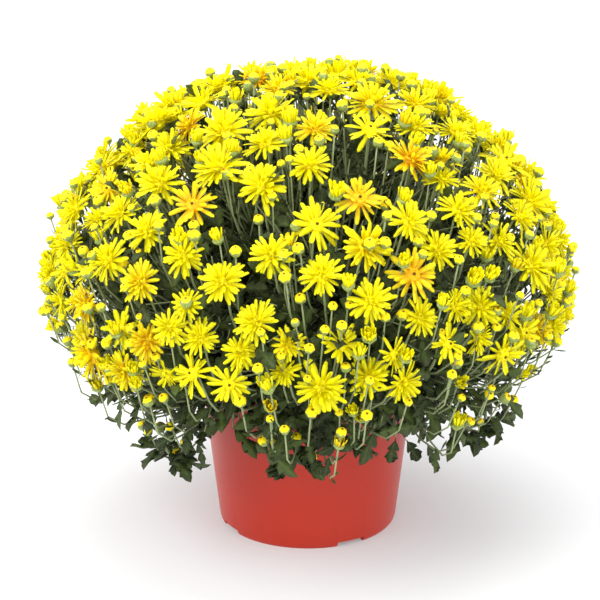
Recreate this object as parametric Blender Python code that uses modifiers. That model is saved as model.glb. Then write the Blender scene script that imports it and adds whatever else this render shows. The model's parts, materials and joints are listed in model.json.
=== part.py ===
"""Pot chrysanthemum: a domed garden mum in flower, in a red plastic pot.

The plant branches from a woody crown just above the soil. Every leafy spray keeps to the wedge of
space that lies nearest its own axis through the crown, so that no spray crosses another.
Metres, +Z up. The origin is the middle of the pot's foot, on the surface that it stands on.
"""

import math
import random

import bmesh
import bpy
from mathutils import Matrix, Vector
from mathutils.bvhtree import BVHTree

MM = 0.001
SEED = 11
GAP = 0.3 * MM  # left between two pieces that touch

# Pot
RIM_RADIUS = 95 * MM
FOOT_RADIUS = 78 * MM
POT_HEIGHT = 145 * MM
WALL = 1.6 * MM
LIP_OUT = 3 * MM
LIP_DROP = 11 * MM
FLOOR_UNDERSIDE = 6 * MM
FOOT_ROUND = 4 * MM
NOTCH_TURNS = (28.7, 118.7, 208.7, 298.7)  # degrees from the front, at the foot
NOTCH_WIDTH = 26 * MM
NOTCH_HEIGHT = 4.5 * MM
DRAIN_RADIUS = 5 * MM
DRAIN_RING = 50 * MM
POT_SIDES = 30

# Soil and crown
SOIL_TOP = 129 * MM
SOIL_CROWN_RISE = 4 * MM
TRUNK_RADIUS = 6.5 * MM
TRUNK_DEPTH = 45 * MM
HUB = Vector((0, 0, 160 * MM))
KNOT_RADIUS = 13 * MM
STUB_LENGTH = 30 * MM
STEM_RADIUS = 2.3 * MM

# Dome of flowers, measured from the hub
DOME_REACH = 239 * MM
SHOULDER_POLAR = 60  # degrees from straight up, where the dome starts to draw in
SKIRT_DRAW = 96 * MM  # drawn in by this much, SKIRT_SPAN degrees below the shoulder
SKIRT_SPAN = 50
DOME_WIDTH = 470 * MM
SPRAY_RINGS = (  # degrees from straight up, sprays, flowers in each, core length as a share of the reach
    (0, 1, 7, 0.68),
    (29, 5, 10, 0.68),
    (55, 7, 9, 0.66),
    (79, 8, 7, 0.54),
)
TRAILER_RING = (107, 6)
TRAILER_STUB_POLAR = 107
LOWEST_BLOOM = 170 * MM  # height of the lowest flowers' middles
TRAILER_GAP = 1.2 * MM  # more than GAP, because a trailer bends where it leaves its stub
CORRIDOR_RADIUS = 127 * MM  # within it, the space up to CORRIDOR_TOP is left to the trailers
CORRIDOR_TOP = 155 * MM

# Blooms, buds and leaves
PETALS = 6
BLOOM_RADIUS = 23.5 * MM
SEAT_DEPTH = 9 * MM
TIP_RISE = 0.5 * MM
NOTCH_DROP = 1.5 * MM
NOTCH_SHARE = 0.50
UPPER_TIP_SHARE = 0.66
UPPER_VALLEY_SHARE = 0.34
UPPER_RISE = 8 * MM
VALLEY_RISE = 2 * MM
EYE_RISE = 4.5 * MM
BLOOM_SPACING = 1.82  # of the bloom radius, from each flower to the one that it grew from
LINK_SHARE = 0.66
LEAST_LINK_RISE = -6 * MM
MOST_LINK_RISE = 6 * MM
LEAST_SPACING_SHARE = 0.88  # of the spacing, between any two flowers of a spray
LEAST_ROOM_SHARE = 0.66  # of the bloom radius, from a flower's middle to the walls of its wedge
SHORTEST_PETAL = 0.56  # of the bloom radius, beside a bud
BUDS_PER_SPRAY = 3
BUD_RADIUS = 5.5 * MM
BUD_TRIES = 240
BUD_CLEARANCE = 0.92  # of the bloom radius, from a bud to the middle of a flower
BESIDE_PETAL = 0.62  # radians, within which a bud lies in a petal's way
STALK_CLEARANCE = 3.5 * MM  # from a leaf to the middle of a stalk
LEAVES_PER_SPRAY = 4
LEAF_TRIES = 60
CORE_SIDES = 7
CORE_SPREAD = 34 * MM
CORE_RISE = 9 * MM
CORE_TOP_DEPTH = 6 * MM  # of the point inside a core's top, from which its leaves and stalks spread
LEAF_LENGTH = 42 * MM
LEAF_HALF = ((0.24, 0.08), (0.40, 0.32), (0.53, 0.15), (0.74, 0.29))  # along and across, of the length
LEAF_THICKNESS = 2.4 * MM
LEAF_MIDDLE = 0.45  # where a leaf is thickest, as a share of its length
LEAF_DROOP = 0.10  # how far its tip hangs, as a share of its length
LEAST_LEAF_SHARE = 0.45  # a leaf that would be shorter than this is left out
LEAF_STEP = 0.08

# Trailers: the way out over the rim, down beside the pot and up again, from the pot's axis
TRAILER_RADII = (103 * MM, 116 * MM, 128 * MM, 138 * MM, 146 * MM)
TRAILER_HEIGHTS = (150 * MM, 134 * MM, 112 * MM, 108 * MM, 122 * MM)
TRAILER_DEPTH_SHARES = (0.0, 0.5, 1.0, 1.0, 1.0)
MOST_TRAILER_DEPTH = 14 * MM
MOST_TRAILER_SPREAD = 28 * MM
MOST_TRAILER_SWING = 0.22
TRAILER_THINNING = 0.1  # of the stem's radius, at each further point

COLOURS = {
    "pot_red": ((0.57, 0.055, 0.030), 0.38),
    "soil_brown": ((0.045, 0.028, 0.018), 0.95),
    "bark": ((0.19, 0.16, 0.075), 0.85),
    "leaf_green": ((0.045, 0.105, 0.032), 0.60),
    "petal_yellow": ((0.95, 0.72, 0.015), 0.55),
}


def material(name):
    """The named material, made once from COLOURS."""
    found = bpy.data.materials.get(name)
    if found:
        return found
    colour, roughness = COLOURS[name]
    found = bpy.data.materials.new(name)
    found.use_nodes = True
    found.diffuse_color = (*colour, 1)
    shader = found.node_tree.nodes["Principled BSDF"]
    shader.inputs["Base Color"].default_value = (*colour, 1)
    shader.inputs["Roughness"].default_value = roughness
    shader.inputs["Metallic"].default_value = 0.0
    return found


def object_from(bm, name, finish, collection):
    """A new object that holds the bmesh, in the collection."""
    mesh = bpy.data.meshes.new(name)
    bm.to_mesh(mesh)
    bm.free()
    mesh.materials.append(material(finish))
    made = bpy.data.objects.new(name, mesh)
    collection.objects.link(made)
    return made


def baked(obj):
    """Replaces the object's mesh with the evaluated one, so that no modifier is left."""
    graph = bpy.context.evaluated_depsgraph_get()
    mesh = bpy.data.meshes.new_from_object(obj.evaluated_get(graph))
    obj.modifiers.clear()
    obj.data = mesh


def keep_largest_shell(mesh):
    """Fills each hollow that a union has sealed, and drops each loose scrap."""
    bm = bmesh.new()
    bm.from_mesh(mesh)
    unseen = set(bm.verts)
    shells = []
    while unseen:
        shell = set()
        border = [next(iter(unseen))]
        while border:
            vert = border.pop()
            if vert in shell:
                continue
            shell.add(vert)
            border += [edge.other_vert(vert) for edge in vert.link_edges]
        unseen -= shell
        shells.append(shell)
    shells.sort(key=len)
    for shell in shells[:-1]:
        bmesh.ops.delete(bm, geom=list(shell), context="VERTS")
    bm.to_mesh(mesh)
    bm.free()


def union_mesh(base, joined, solver):
    """The mesh of the base object joined with a collection of others, by the named solver."""
    union = base.modifiers.new("union", "BOOLEAN")
    union.operation = "UNION"
    union.operand_type = "COLLECTION"
    union.solver = solver
    union.collection = joined
    graph = bpy.context.evaluated_depsgraph_get()
    mesh = bpy.data.meshes.new_from_object(base.evaluated_get(graph))
    base.modifiers.clear()
    return mesh


def is_closed(mesh):
    """True where every edge of the mesh joins exactly two faces."""
    bm = bmesh.new()
    bm.from_mesh(mesh)
    bmesh.ops.remove_doubles(bm, verts=bm.verts, dist=0.0005 * MM)
    closed = all(len(edge.link_faces) == 2 for edge in bm.edges)
    bm.free()
    return closed


def fused(name, pieces, finish, collection):
    """One body from overlapping pieces: the first is joined with the rest by one Boolean union."""
    base, *rest = pieces
    base.name = name
    if rest:
        joined = bpy.data.collections.new(name + "_pieces")
        bpy.context.scene.collection.children.link(joined)
        for piece in rest:
            joined.objects.link(piece)
            collection.objects.unlink(piece)
        mesh = union_mesh(base, joined, "EXACT")
        if not is_closed(mesh):
            mesh = union_mesh(base, joined, "MANIFOLD")
        base.data = mesh
        for piece in rest:
            bpy.data.objects.remove(piece)
        bpy.data.collections.remove(joined)
        keep_largest_shell(base.data)
    base.data.materials.clear()
    base.data.materials.append(material(finish))
    return base


def turned(profile, name, finish, collection):
    """A solid of revolution about Z, from (radius, height) points that run down the outer side."""
    bm = bmesh.new()
    points = [bm.verts.new((r, 0, z)) for r, z in profile]
    for a, b in zip(points, points[1:]):
        bm.edges.new((a, b))
    made = object_from(bm, name, finish, collection)
    screw = made.modifiers.new("turn", "SCREW")
    screw.steps = screw.render_steps = POT_SIDES
    screw.use_merge_vertices = True
    screw.merge_threshold = 0.0001
    screw.use_smooth_shade = True
    baked(made)
    return made


def cut(obj, cutters):
    """Takes the cutters away from the object, and removes them."""
    for cutter in cutters:
        modifier = obj.modifiers.new("cut", "BOOLEAN")
        modifier.operation = "DIFFERENCE"
        modifier.object = cutter
    baked(obj)
    for cutter in cutters:
        bpy.data.objects.remove(cutter)


def frustum(start, end, start_radius, end_radius, sides, name, finish, collection):
    """A straight tapered stem with flat ends, from a primitive cone."""
    bm = bmesh.new()
    length = (end - start).length
    bmesh.ops.create_cone(
        bm, cap_ends=True, segments=sides, radius1=start_radius, radius2=end_radius, depth=length
    )
    turn = (end - start).to_track_quat("Z", "Y").to_matrix().to_4x4()
    place = Matrix.Translation((start + end) / 2) @ turn
    bmesh.ops.transform(bm, matrix=place, verts=bm.verts)
    return object_from(bm, name, finish, collection)


def bent_stem(points, radii, name, collection):
    """A stem along a few points, as a four-sided tube that thins from root to tip."""
    curve = bpy.data.curves.new(name, "CURVE")
    curve.dimensions = "3D"
    curve.bevel_depth = 1.0
    curve.bevel_resolution = 0
    curve.use_fill_caps = True
    spline = curve.splines.new("POLY")
    spline.points.add(len(points) - 1)
    for point, place, radius in zip(spline.points, points, radii):
        point.co = (*place, 1)
        point.radius = radius
    source = bpy.data.objects.new(name + "_line", curve)
    collection.objects.link(source)
    graph = bpy.context.evaluated_depsgraph_get()
    mesh = bpy.data.meshes.new_from_object(source.evaluated_get(graph))
    bm = bmesh.new()
    bm.from_mesh(mesh)
    bmesh.ops.remove_doubles(bm, verts=bm.verts, dist=0.00001)
    bpy.data.objects.remove(source)
    return object_from(bm, name, "leaf_green", collection)


def direction(polar, azimuth):
    """Unit vector at a polar angle from straight up and an azimuth from +X, both in degrees."""
    p, a = math.radians(polar), math.radians(azimuth)
    return Vector((math.sin(p) * math.cos(a), math.sin(p) * math.sin(a), math.cos(p)))


def dome_reach(toward):
    """Distance from the hub to the surface of the dome, in the direction of a vector."""
    polar = math.degrees(toward.angle(Vector((0, 0, 1))))
    below = max(0.0, (polar - SHOULDER_POLAR) / SKIRT_SPAN)
    return DOME_REACH - SKIRT_DRAW * below * below


def spray_axes(rng):
    """Axes of the flowering sprays, ring by ring, and of the trailers below them."""
    axes = []
    for polar, count, *_ in (*SPRAY_RINGS, TRAILER_RING):
        offset = 0.5 if count % 2 or polar > 90 else 0.0
        for n in range(count):
            turn = 360 * (n + offset + rng.uniform(-0.08, 0.08)) / count
            axes.append(direction(polar + rng.uniform(-2, 2) * (polar > 0), turn))
    flowering = sum(count for _, count, *_ in SPRAY_RINGS)
    return axes[:flowering], axes[flowering:]


class Wedge:
    """The space nearest one axis: a convex cone between flat walls that all pass through the hub."""

    def __init__(self, axis, axes):
        self.axis = axis
        self.walls = [(axis - other).normalized() for other in axes if other != axis]

    def room(self, point):
        """Distance from the point to the nearest wall, or to the dome's widest cylinder."""
        from_hub = point - HUB
        to_wall = min(from_hub.dot(wall) for wall in self.walls)
        return min(to_wall, DOME_WIDTH / 2 - math.hypot(point.x, point.y))

    def pulled_in(self, root, point, margin):
        """The point, drawn back towards the root until it is clear of the walls."""
        share = 1.0
        while share > 0.05 and self.room(root + (point - root) * share) < margin:
            share -= 0.04
        return root + (point - root) * share


class Bloom:
    """Where one flower sits: its middle, the way it faces, and the directions of its petals."""

    def __init__(self, centre, facing, spin):
        self.centre = centre
        self.facing = facing
        self.side = facing.orthogonal().normalized()
        self.across = facing.cross(self.side)
        self.spin = spin
        self.link = None
        self.lengths = [1.0] * PETALS

    def outward(self, turn):
        """Unit vector in the flower's plane, at an angle in radians."""
        return self.side * math.cos(turn) + self.across * math.sin(turn)

    def petal_turn(self, k):
        """Angle of petal k of the lower layer."""
        return self.spin + math.tau * k / PETALS

    def petal_tip(self, k, wedge):
        """The tip of petal k, kept inside the spray's wedge."""
        length = self.lengths[k] * BLOOM_RADIUS
        tip = self.centre + self.outward(self.petal_turn(k)) * length + self.facing * TIP_RISE
        return wedge.pulled_in(self.centre, tip, GAP)

    def link_point(self, wedge):
        """The point inside its parent's petal that petal 0 grows to."""
        parent, k = self.link
        along = parent.petal_tip(k, wedge) - parent.centre
        return parent.centre + along * LINK_SHARE - parent.facing * MM

    def seat(self):
        """The lowest point, where the flower sits on its stalk."""
        return self.centre - self.facing * SEAT_DEPTH

    def turn_towards(self, point):
        """Spins the flower so that its petal 0 points at the point."""
        flat = point - self.centre
        self.spin = math.atan2(flat.dot(self.across), flat.dot(self.side))


def dome_point(toward, lift=0.0):
    """The point of the dome's surface in a direction from the hub, lifted off it."""
    unit = toward.normalized()
    return HUB + unit * (dome_reach(unit) + lift)


def dome_normal(toward):
    """Unit vector out of the dome's surface, in a direction from the hub."""
    unit = toward.normalized()
    side = unit.orthogonal().normalized()
    across = unit.cross(side)
    middle = dome_point(unit)
    step = 0.02
    normal = (dome_point(unit + side * step) - middle).cross(dome_point(unit + across * step) - middle)
    return normal.normalized()


def grow_blooms(wedge, count, rng):
    """Flowers of one spray: each further one grows beyond a petal of one already there, and meets it."""
    first = Bloom(dome_point(wedge.axis), dome_normal(wedge.axis), rng.uniform(0, math.tau))
    blooms = [first]
    spacing = BLOOM_SPACING * BLOOM_RADIUS
    open_petals = [(first, k) for k in range(PETALS)]
    while open_petals and len(blooms) < count:
        parent, k = open_petals.pop(rng.randrange(min(3, len(open_petals))))
        beyond = parent.centre + parent.outward(parent.petal_turn(k)) * spacing
        centre = dome_point(beyond - HUB, rng.uniform(-3, 2) * MM)
        if centre.z < LOWEST_BLOOM:
            continue
        near = min((centre - other.centre).length for other in blooms)
        if near < LEAST_SPACING_SHARE * spacing or wedge.room(centre) < LEAST_ROOM_SHARE * BLOOM_RADIUS:
            continue
        lean = Vector([rng.uniform(-0.1, 0.1) for _ in range(3)])
        child = Bloom(centre, (dome_normal(centre - HUB) + lean).normalized(), 0)
        child.turn_towards(parent.centre)
        child.link = (parent, k)
        rise = (child.link_point(wedge) - centre).dot(child.facing)
        if not LEAST_LINK_RISE < rise < MOST_LINK_RISE:
            continue
        blooms.append(child)
        open_petals += [(child, n) for n in range(1, PETALS)]
    return blooms


def place_buds(wedge, blooms, count, rng):
    """Middles of one spray's buds, in the gaps between its flowers."""
    buds = []
    for _ in range(BUD_TRIES):
        if len(buds) == count:
            break
        lean = Vector([rng.uniform(-0.34, 0.34) for _ in range(3)])
        place = dome_point(wedge.axis + lean, rng.uniform(-9, 5) * MM)
        if wedge.room(place) < BUD_RADIUS + MM:
            continue
        if any((place - bloom.centre).length < BUD_CLEARANCE * BLOOM_RADIUS for bloom in blooms):
            continue
        if any((place - other).length < 2.6 * BUD_RADIUS for other in buds):
            continue
        buds.append(place)
    return buds


def make_room_for_buds(blooms, buds):
    """Shortens each petal that would touch a bud or the stalk below it."""
    for bloom in blooms:
        for bud in buds:
            flat = bud - bloom.centre
            flat -= bloom.facing * flat.dot(bloom.facing)
            turn = math.atan2(flat.dot(bloom.across), flat.dot(bloom.side))
            for k in range(PETALS):
                away = abs(math.remainder(turn - bloom.petal_turn(k), math.tau))
                if away < BESIDE_PETAL and flat.length < BLOOM_RADIUS + BUD_RADIUS + MM:
                    room = (flat.length - BUD_RADIUS - 1.5 * MM) / BLOOM_RADIUS
                    bloom.lengths[k] = min(bloom.lengths[k], max(SHORTEST_PETAL, room))


def bloom_solid(bloom, wedge, collection):
    """A flower with two layers of petals, shaped from a three-band sphere."""
    bm = bmesh.new()
    bmesh.ops.create_uvsphere(bm, u_segments=2 * PETALS, v_segments=3, radius=1)
    for vert in bm.verts:
        if abs(vert.co.z) > 0.99:
            rise = EYE_RISE if vert.co.z > 0 else -SEAT_DEPTH
            vert.co = bloom.centre + bloom.facing * rise
            continue
        step = round(math.atan2(vert.co.y, vert.co.x) / math.pi * PETALS) % (2 * PETALS)
        turn = bloom.spin + math.pi * step / PETALS
        tip = step % 2 == 0
        if vert.co.z < 0:
            k = step // 2
            share = bloom.lengths[k] if tip else NOTCH_SHARE
            rise = TIP_RISE if tip else -NOTCH_DROP
        else:
            share = UPPER_VALLEY_SHARE if tip else UPPER_TIP_SHARE
            rise = VALLEY_RISE if tip else UPPER_RISE
        place = bloom.centre + bloom.outward(turn) * share * BLOOM_RADIUS + bloom.facing * rise
        if vert.co.z < 0 and step == 0 and bloom.link:
            vert.co = bloom.link_point(wedge)
            continue
        vert.co = wedge.pulled_in(bloom.centre, place, GAP)
    return object_from(bm, "bloom", "petal_yellow", collection)


def bud_solid(root, place, collection):
    """A round bud with a blunt top and the stalk that carries it, as one tapering tube."""
    facing = (place - root).normalized()
    neck = place - facing * 0.9 * BUD_RADIUS
    top = place + facing * 0.75 * BUD_RADIUS
    radii = [1.1 * MM, 1.5 * MM, 1.1 * BUD_RADIUS, 0.5 * BUD_RADIUS]
    return bent_stem([root, neck, place, top], radii, "bud", collection)


def clear_of_stalks(point, stalks):
    """True where the point is not close to any of the straight stalks."""
    for low, top in stalks:
        along = top - low
        share = min(1.0, max(0.0, (point - low).dot(along) / along.length_squared))
        if (point - low - along * share).length < STALK_CLEARANCE:
            return False
    return True


def leaf_solid(root, along, upward, length, wedge, has_room, collection):
    """A lobed leaf: a flat double cone over the cut outline, shortened until it fits, or else None."""
    along = along.normalized()
    across = upward.cross(along).normalized()
    normal = along.cross(across)
    steps = len(LEAF_HALF) + 1
    outline = [(-0.02, 0.0), *LEAF_HALF, (1.0, 0.0)]
    bm = bmesh.new()
    bmesh.ops.create_uvsphere(bm, u_segments=2 * steps, v_segments=2, radius=1)
    size = length
    while size > LEAST_LEAF_SHARE * length:
        ends = [
            root + (along * u + across * s * v) * size for u, v in outline[1:] for s in (-1, -0.4, 0.4, 1)
        ]
        if min(wedge.room(end) for end in ends) > LEAF_THICKNESS / 2 and all(map(has_room, ends)):
            break
        size -= LEAF_STEP * length
    else:
        bm.free()
        return None
    for vert in bm.verts:
        if abs(vert.co.z) > 0.99:
            side = math.copysign(LEAF_THICKNESS / 2, vert.co.z)
            vert.co = root + along * LEAF_MIDDLE * size + normal * side
            continue
        step = round(math.atan2(vert.co.y, vert.co.x) / math.pi * steps)
        u, v = outline[steps - abs(step)]
        droop = -LEAF_DROOP * u * u * size
        sideways = across * math.copysign(v * size, step)
        vert.co = root + along * u * size + sideways + normal * droop
    return object_from(bm, "leaf", "leaf_green", collection)


def surface_of(obj):
    """The object's faces, ready to be tested against those of another."""
    points = [vert.co.copy() for vert in obj.data.vertices]
    return BVHTree.FromPolygons(points, [tuple(face.vertices) for face in obj.data.polygons])


def without_touching(pieces, surfaces):
    """The pieces that touch none of the surfaces. The others are removed."""
    kept = []
    for piece in pieces:
        if any(surface_of(piece).overlap(surface) for surface in surfaces):
            bpy.data.objects.remove(piece)
        else:
            kept.append(piece)
    return kept


def core_solid(wedge, length, collection):
    """The dense inner growth of one spray: a faceted cone that widens from the stub, with a low top."""
    start = HUB + wedge.axis * (STUB_LENGTH + GAP)
    end = HUB + wedge.axis * length
    core = frustum(start, end, 2 * STEM_RADIUS, CORE_SPREAD, CORE_SIDES, "core", "leaf_green", collection)
    bm = bmesh.new()
    bm.from_mesh(core.data)
    top = max(bm.faces, key=lambda face: (face.calc_center_median() - HUB).dot(wedge.axis))
    for vert in top.verts:
        while wedge.room(vert.co) < GAP or not above_trailers(vert.co):
            vert.co = vert.co.lerp(end, 0.06)
    bmesh.ops.poke(bm, faces=[top], offset=CORE_RISE)
    bm.to_mesh(core.data)
    bm.free()
    return core


def held_inside(surface, middle, point):
    """The point, or one nearer the middle where the surface lies between the two."""
    way = point - middle
    if way.length < MM:
        return point
    hit = surface.ray_cast(middle, way.normalized(), way.length + 2 * MM)[0]
    return middle.lerp(hit, 0.7) if hit else point


def spray_leaves(wedge, core_surface, middle, stalks, rng, collection):
    """The leaves that stand out of one spray's core, turned into the gaps between its stalks."""
    top = dome_reach(wedge.axis) - SEAT_DEPTH - 8 * MM

    def has_room(end):
        return (end - HUB).length < top and above_trailers(end) and clear_of_stalks(end, stalks)

    leaves = []
    for _ in range(LEAF_TRIES):
        if len(leaves) == LEAVES_PER_SPRAY:
            break
        around = Matrix.Rotation(rng.uniform(0, math.tau), 3, wedge.axis) @ wedge.axis.orthogonal()
        root = held_inside(core_surface, middle, middle + around * rng.uniform(0.2, 0.6) * CORE_SPREAD)
        along = around + wedge.axis * rng.uniform(0.5, 1.6)
        leaf = leaf_solid(root, along, wedge.axis, LEAF_LENGTH, wedge, has_room, collection)
        if leaf:
            leaves.append(leaf)
    return leaves


def spray(number, wedge, flower_count, core_share, rng, collection):
    """One flowering spray: its core, stalks, buds and leaves in one node, its flowers in another."""
    blooms = grow_blooms(wedge, flower_count, rng)
    bud_places = place_buds(wedge, blooms, BUDS_PER_SPRAY, rng)
    make_room_for_buds(blooms, bud_places)
    stars = [bloom_solid(bloom, wedge, collection) for bloom in blooms]
    surfaces = [surface_of(star) for star in stars]

    length = core_share * dome_reach(wedge.axis)
    core = core_solid(wedge, length, collection)
    core_surface = surface_of(core)
    middle = HUB + wedge.axis * (length - CORE_TOP_DEPTH)

    def stalk_foot(top):
        """A point inside the core, below the top of a stalk."""
        below = HUB + (top - HUB).normalized() * (length - CORE_TOP_DEPTH)
        return held_inside(core_surface, middle, middle.lerp(below, 0.55))

    stalks = []
    pieces = []
    for bloom in blooms:
        top = bloom.seat() - bloom.facing * GAP
        stalks.append((stalk_foot(top), top))
        pieces.append(frustum(*stalks[-1], 1.1 * MM, 2.2 * MM, 3, "stalk", "leaf_green", collection))
    for place in bud_places:
        stalks.append((stalk_foot(place), place))
        pieces.append(bud_solid(*stalks[-1], collection))
    pieces += spray_leaves(wedge, core_surface, middle, stalks, rng, collection)
    pieces = without_touching(pieces, surfaces)
    fused(f"spray_{number:02d}", [core, *pieces], "leaf_green", collection)
    fused(f"blooms_{number:02d}", stars, "petal_yellow", collection)


def above_trailers(point):
    """True outside the low space over the pot's rim that the trailers pass through."""
    return math.hypot(point.x, point.y) > CORRIDOR_RADIUS or point.z > CORRIDOR_TOP


def clear_of_pot(point):
    """True where the point is above the pot's rim or outside its lip."""
    outside = math.hypot(point.x, point.y) > RIM_RADIUS + LIP_OUT + 2 * MM
    return outside or point.z > POT_HEIGHT + 2.5 * MM


def stub_direction(trailer_axis):
    """The direction in which a trailer leaves the crown, low enough to pass below the sprays."""
    return direction(TRAILER_STUB_POLAR, math.degrees(math.atan2(trailer_axis.y, trailer_axis.x)))


def trailer(number, wedge, rng, collection):
    """A leafy shoot that arches over the rim, hangs beside the pot and turns up to its buds."""
    flat = Vector((wedge.axis.x, wedge.axis.y, 0)).normalized()
    side = Vector((-flat.y, flat.x, 0))
    swing = rng.uniform(-MOST_TRAILER_SWING, MOST_TRAILER_SWING)
    depth = rng.uniform(0, MOST_TRAILER_DEPTH)
    spread = rng.uniform(0, MOST_TRAILER_SPREAD) * abs(flat.x)
    route = [HUB + stub_direction(wedge.axis) * (STUB_LENGTH + TRAILER_GAP)]
    for n, (r, z, share) in enumerate(zip(TRAILER_RADII, TRAILER_HEIGHTS, TRAILER_DEPTH_SHARES)):
        outward = (flat + side * swing * n / len(TRAILER_RADII)).normalized()
        further = spread * n / (len(TRAILER_RADII) - 1)
        route.append(outward * (r + further) + Vector((0, 0, z - depth * share)))
    thickness = [STEM_RADIUS * (1 - TRAILER_THINNING * n) for n in range(len(route))]
    pieces = [bent_stem(route, thickness, "stem", collection)]
    buds = (
        (route[-1], flat * 14 * MM + Vector((0, 0, 16 * MM))),
        (route[-2], side * 22 * MM + Vector((0, 0, 22 * MM))),
    )
    for low, reach in buds:
        place = wedge.pulled_in(low, low + reach, BUD_RADIUS + MM)
        pieces.append(bud_solid(low, place, collection))
    for n in range(1, len(route) - 1):
        for way in (-1, 1):
            along = flat * 0.5 + side * way + Vector((0, 0, rng.uniform(-0.9, 0.1)))
            leaf = leaf_solid(
                route[n], along, Vector((0, 0, 1)), LEAF_LENGTH, wedge, clear_of_pot, collection
            )
            if leaf:
                pieces.append(leaf)
    fused(f"trailer_{number:02d}", pieces, "leaf_green", collection)


def pot(collection):
    """The plastic pot: a thin tapered wall with a turned-out lip, and a foot with four notches."""
    slope = (RIM_RADIUS - FOOT_RADIUS) / POT_HEIGHT
    inner_floor = FLOOR_UNDERSIDE + WALL

    def outer(z):
        return FOOT_RADIUS + slope * z

    profile = [
        (0, inner_floor),
        (outer(inner_floor) - WALL - 3 * MM, inner_floor),
        (outer(inner_floor + 3 * MM) - WALL, inner_floor + 3 * MM),
        (RIM_RADIUS - WALL, POT_HEIGHT),
        (RIM_RADIUS + LIP_OUT, POT_HEIGHT),
        (RIM_RADIUS + LIP_OUT, POT_HEIGHT - LIP_DROP),
        (outer(POT_HEIGHT - LIP_DROP - 1.5 * MM), POT_HEIGHT - LIP_DROP - 1.5 * MM),
        (outer(FOOT_ROUND), FOOT_ROUND),
        (FOOT_RADIUS - 1.5 * MM, 0),
        (FOOT_RADIUS - 5.5 * MM, 0),
        (FOOT_RADIUS - 5.0 * MM, FLOOR_UNDERSIDE),
        (0, FLOOR_UNDERSIDE),
    ]
    made = turned(profile, "pot", "pot_red", collection)
    cutters = []
    for turn in NOTCH_TURNS:
        out = direction(90, turn - 90)
        bm = bmesh.new()
        bmesh.ops.create_cube(bm, size=1)
        size = Matrix.Diagonal((24 * MM, NOTCH_WIDTH, 2 * NOTCH_HEIGHT, 1))
        turned_box = Matrix.Rotation(math.radians(turn - 90), 4, "Z") @ size
        place = Matrix.Translation(out * FOOT_RADIUS) @ turned_box
        bmesh.ops.transform(bm, matrix=place, verts=bm.verts)
        cutters.append(object_from(bm, "notch", "pot_red", collection))
        hole = out * DRAIN_RING
        down = Vector((0, 0, FLOOR_UNDERSIDE - 3 * MM))
        up = Vector((0, 0, inner_floor + 3 * MM))
        cutters.append(
            frustum(hole + down, hole + up, DRAIN_RADIUS, DRAIN_RADIUS, 8, "drain", "pot_red", collection)
        )
    cut(made, cutters)
    made.data.set_sharp_from_angle(angle=math.radians(30))
    return made


def soil(collection):
    """The potting soil that fills the pot, low-domed, with a plain hole for the trunk."""
    slope = (RIM_RADIUS - FOOT_RADIUS) / POT_HEIGHT
    floor = FLOOR_UNDERSIDE + WALL + GAP
    inset = WALL + GAP + 0.6 * MM
    hole_floor = SOIL_TOP - TRUNK_DEPTH - GAP
    hole_radius = TRUNK_RADIUS + GAP
    profile = [
        (0, hole_floor),
        (hole_radius, hole_floor),
        (hole_radius, SOIL_TOP + SOIL_CROWN_RISE),
        (0.55 * RIM_RADIUS, SOIL_TOP + 0.6 * SOIL_CROWN_RISE),
        (FOOT_RADIUS + slope * SOIL_TOP - inset, SOIL_TOP),
        (FOOT_RADIUS + slope * (floor + 4 * MM) - inset, floor + 4 * MM),
        (FOOT_RADIUS - inset - 3 * MM, floor),
        (0, floor),
    ]
    return turned(profile, "soil", "soil_brown", collection)


def crown(axes, trailer_axes, collection):
    """The woody crown: a trunk that stands in the soil, and a cut-square stub for each spray."""
    foot = Vector((0, 0, SOIL_TOP - TRUNK_DEPTH))
    pieces = [frustum(foot, HUB, TRUNK_RADIUS, TRUNK_RADIUS * 0.9, 8, "trunk", "bark", collection)]
    bm = bmesh.new()
    bmesh.ops.create_icosphere(bm, subdivisions=2, radius=KNOT_RADIUS)
    bmesh.ops.translate(bm, vec=HUB, verts=bm.verts)
    pieces.append(object_from(bm, "knot", "bark", collection))
    for axis in [*axes, *map(stub_direction, trailer_axes)]:
        end = HUB + axis * STUB_LENGTH
        pieces.append(
            frustum(HUB, end, STEM_RADIUS * 1.3, STEM_RADIUS * 1.2, 3, "stub", "bark", collection)
        )
    return fused("crown", pieces, "bark", collection)


def main():
    """Builds the pot, the soil, the crown, and every spray and trailer."""
    for old in list(bpy.data.objects):
        bpy.data.objects.remove(old)
    plant = bpy.data.collections.new("pot_chrysanthemum")
    bpy.context.scene.collection.children.link(plant)
    rng = random.Random(SEED)
    axes, trailer_axes = spray_axes(rng)
    pot(plant)
    soil(plant)
    crown(axes, trailer_axes, plant)
    everything = [*axes, *trailer_axes]
    growth = [(flowers, core) for _, count, flowers, core in SPRAY_RINGS for _ in range(count)]
    for number, (axis, (flowers, core)) in enumerate(zip(axes, growth), 1):
        own_rng = random.Random(SEED * 100 + number)
        spray(number, Wedge(axis, everything), flowers, core, own_rng, plant)
    for number, axis in enumerate(trailer_axes, 1):
        trailer(number, Wedge(axis, everything), random.Random(SEED * 200 + number), plant)


main()
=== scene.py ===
"""Dresses the pot chrysanthemum: fine flowers, buds, leaves and stems over the frame's solids."""

import json
import logging
import math
import random
from dataclasses import dataclass, field
from enum import Enum
from typing import Callable, Iterable, Sequence

import bpy
import numpy as np
from mathutils import Matrix, Vector

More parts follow.
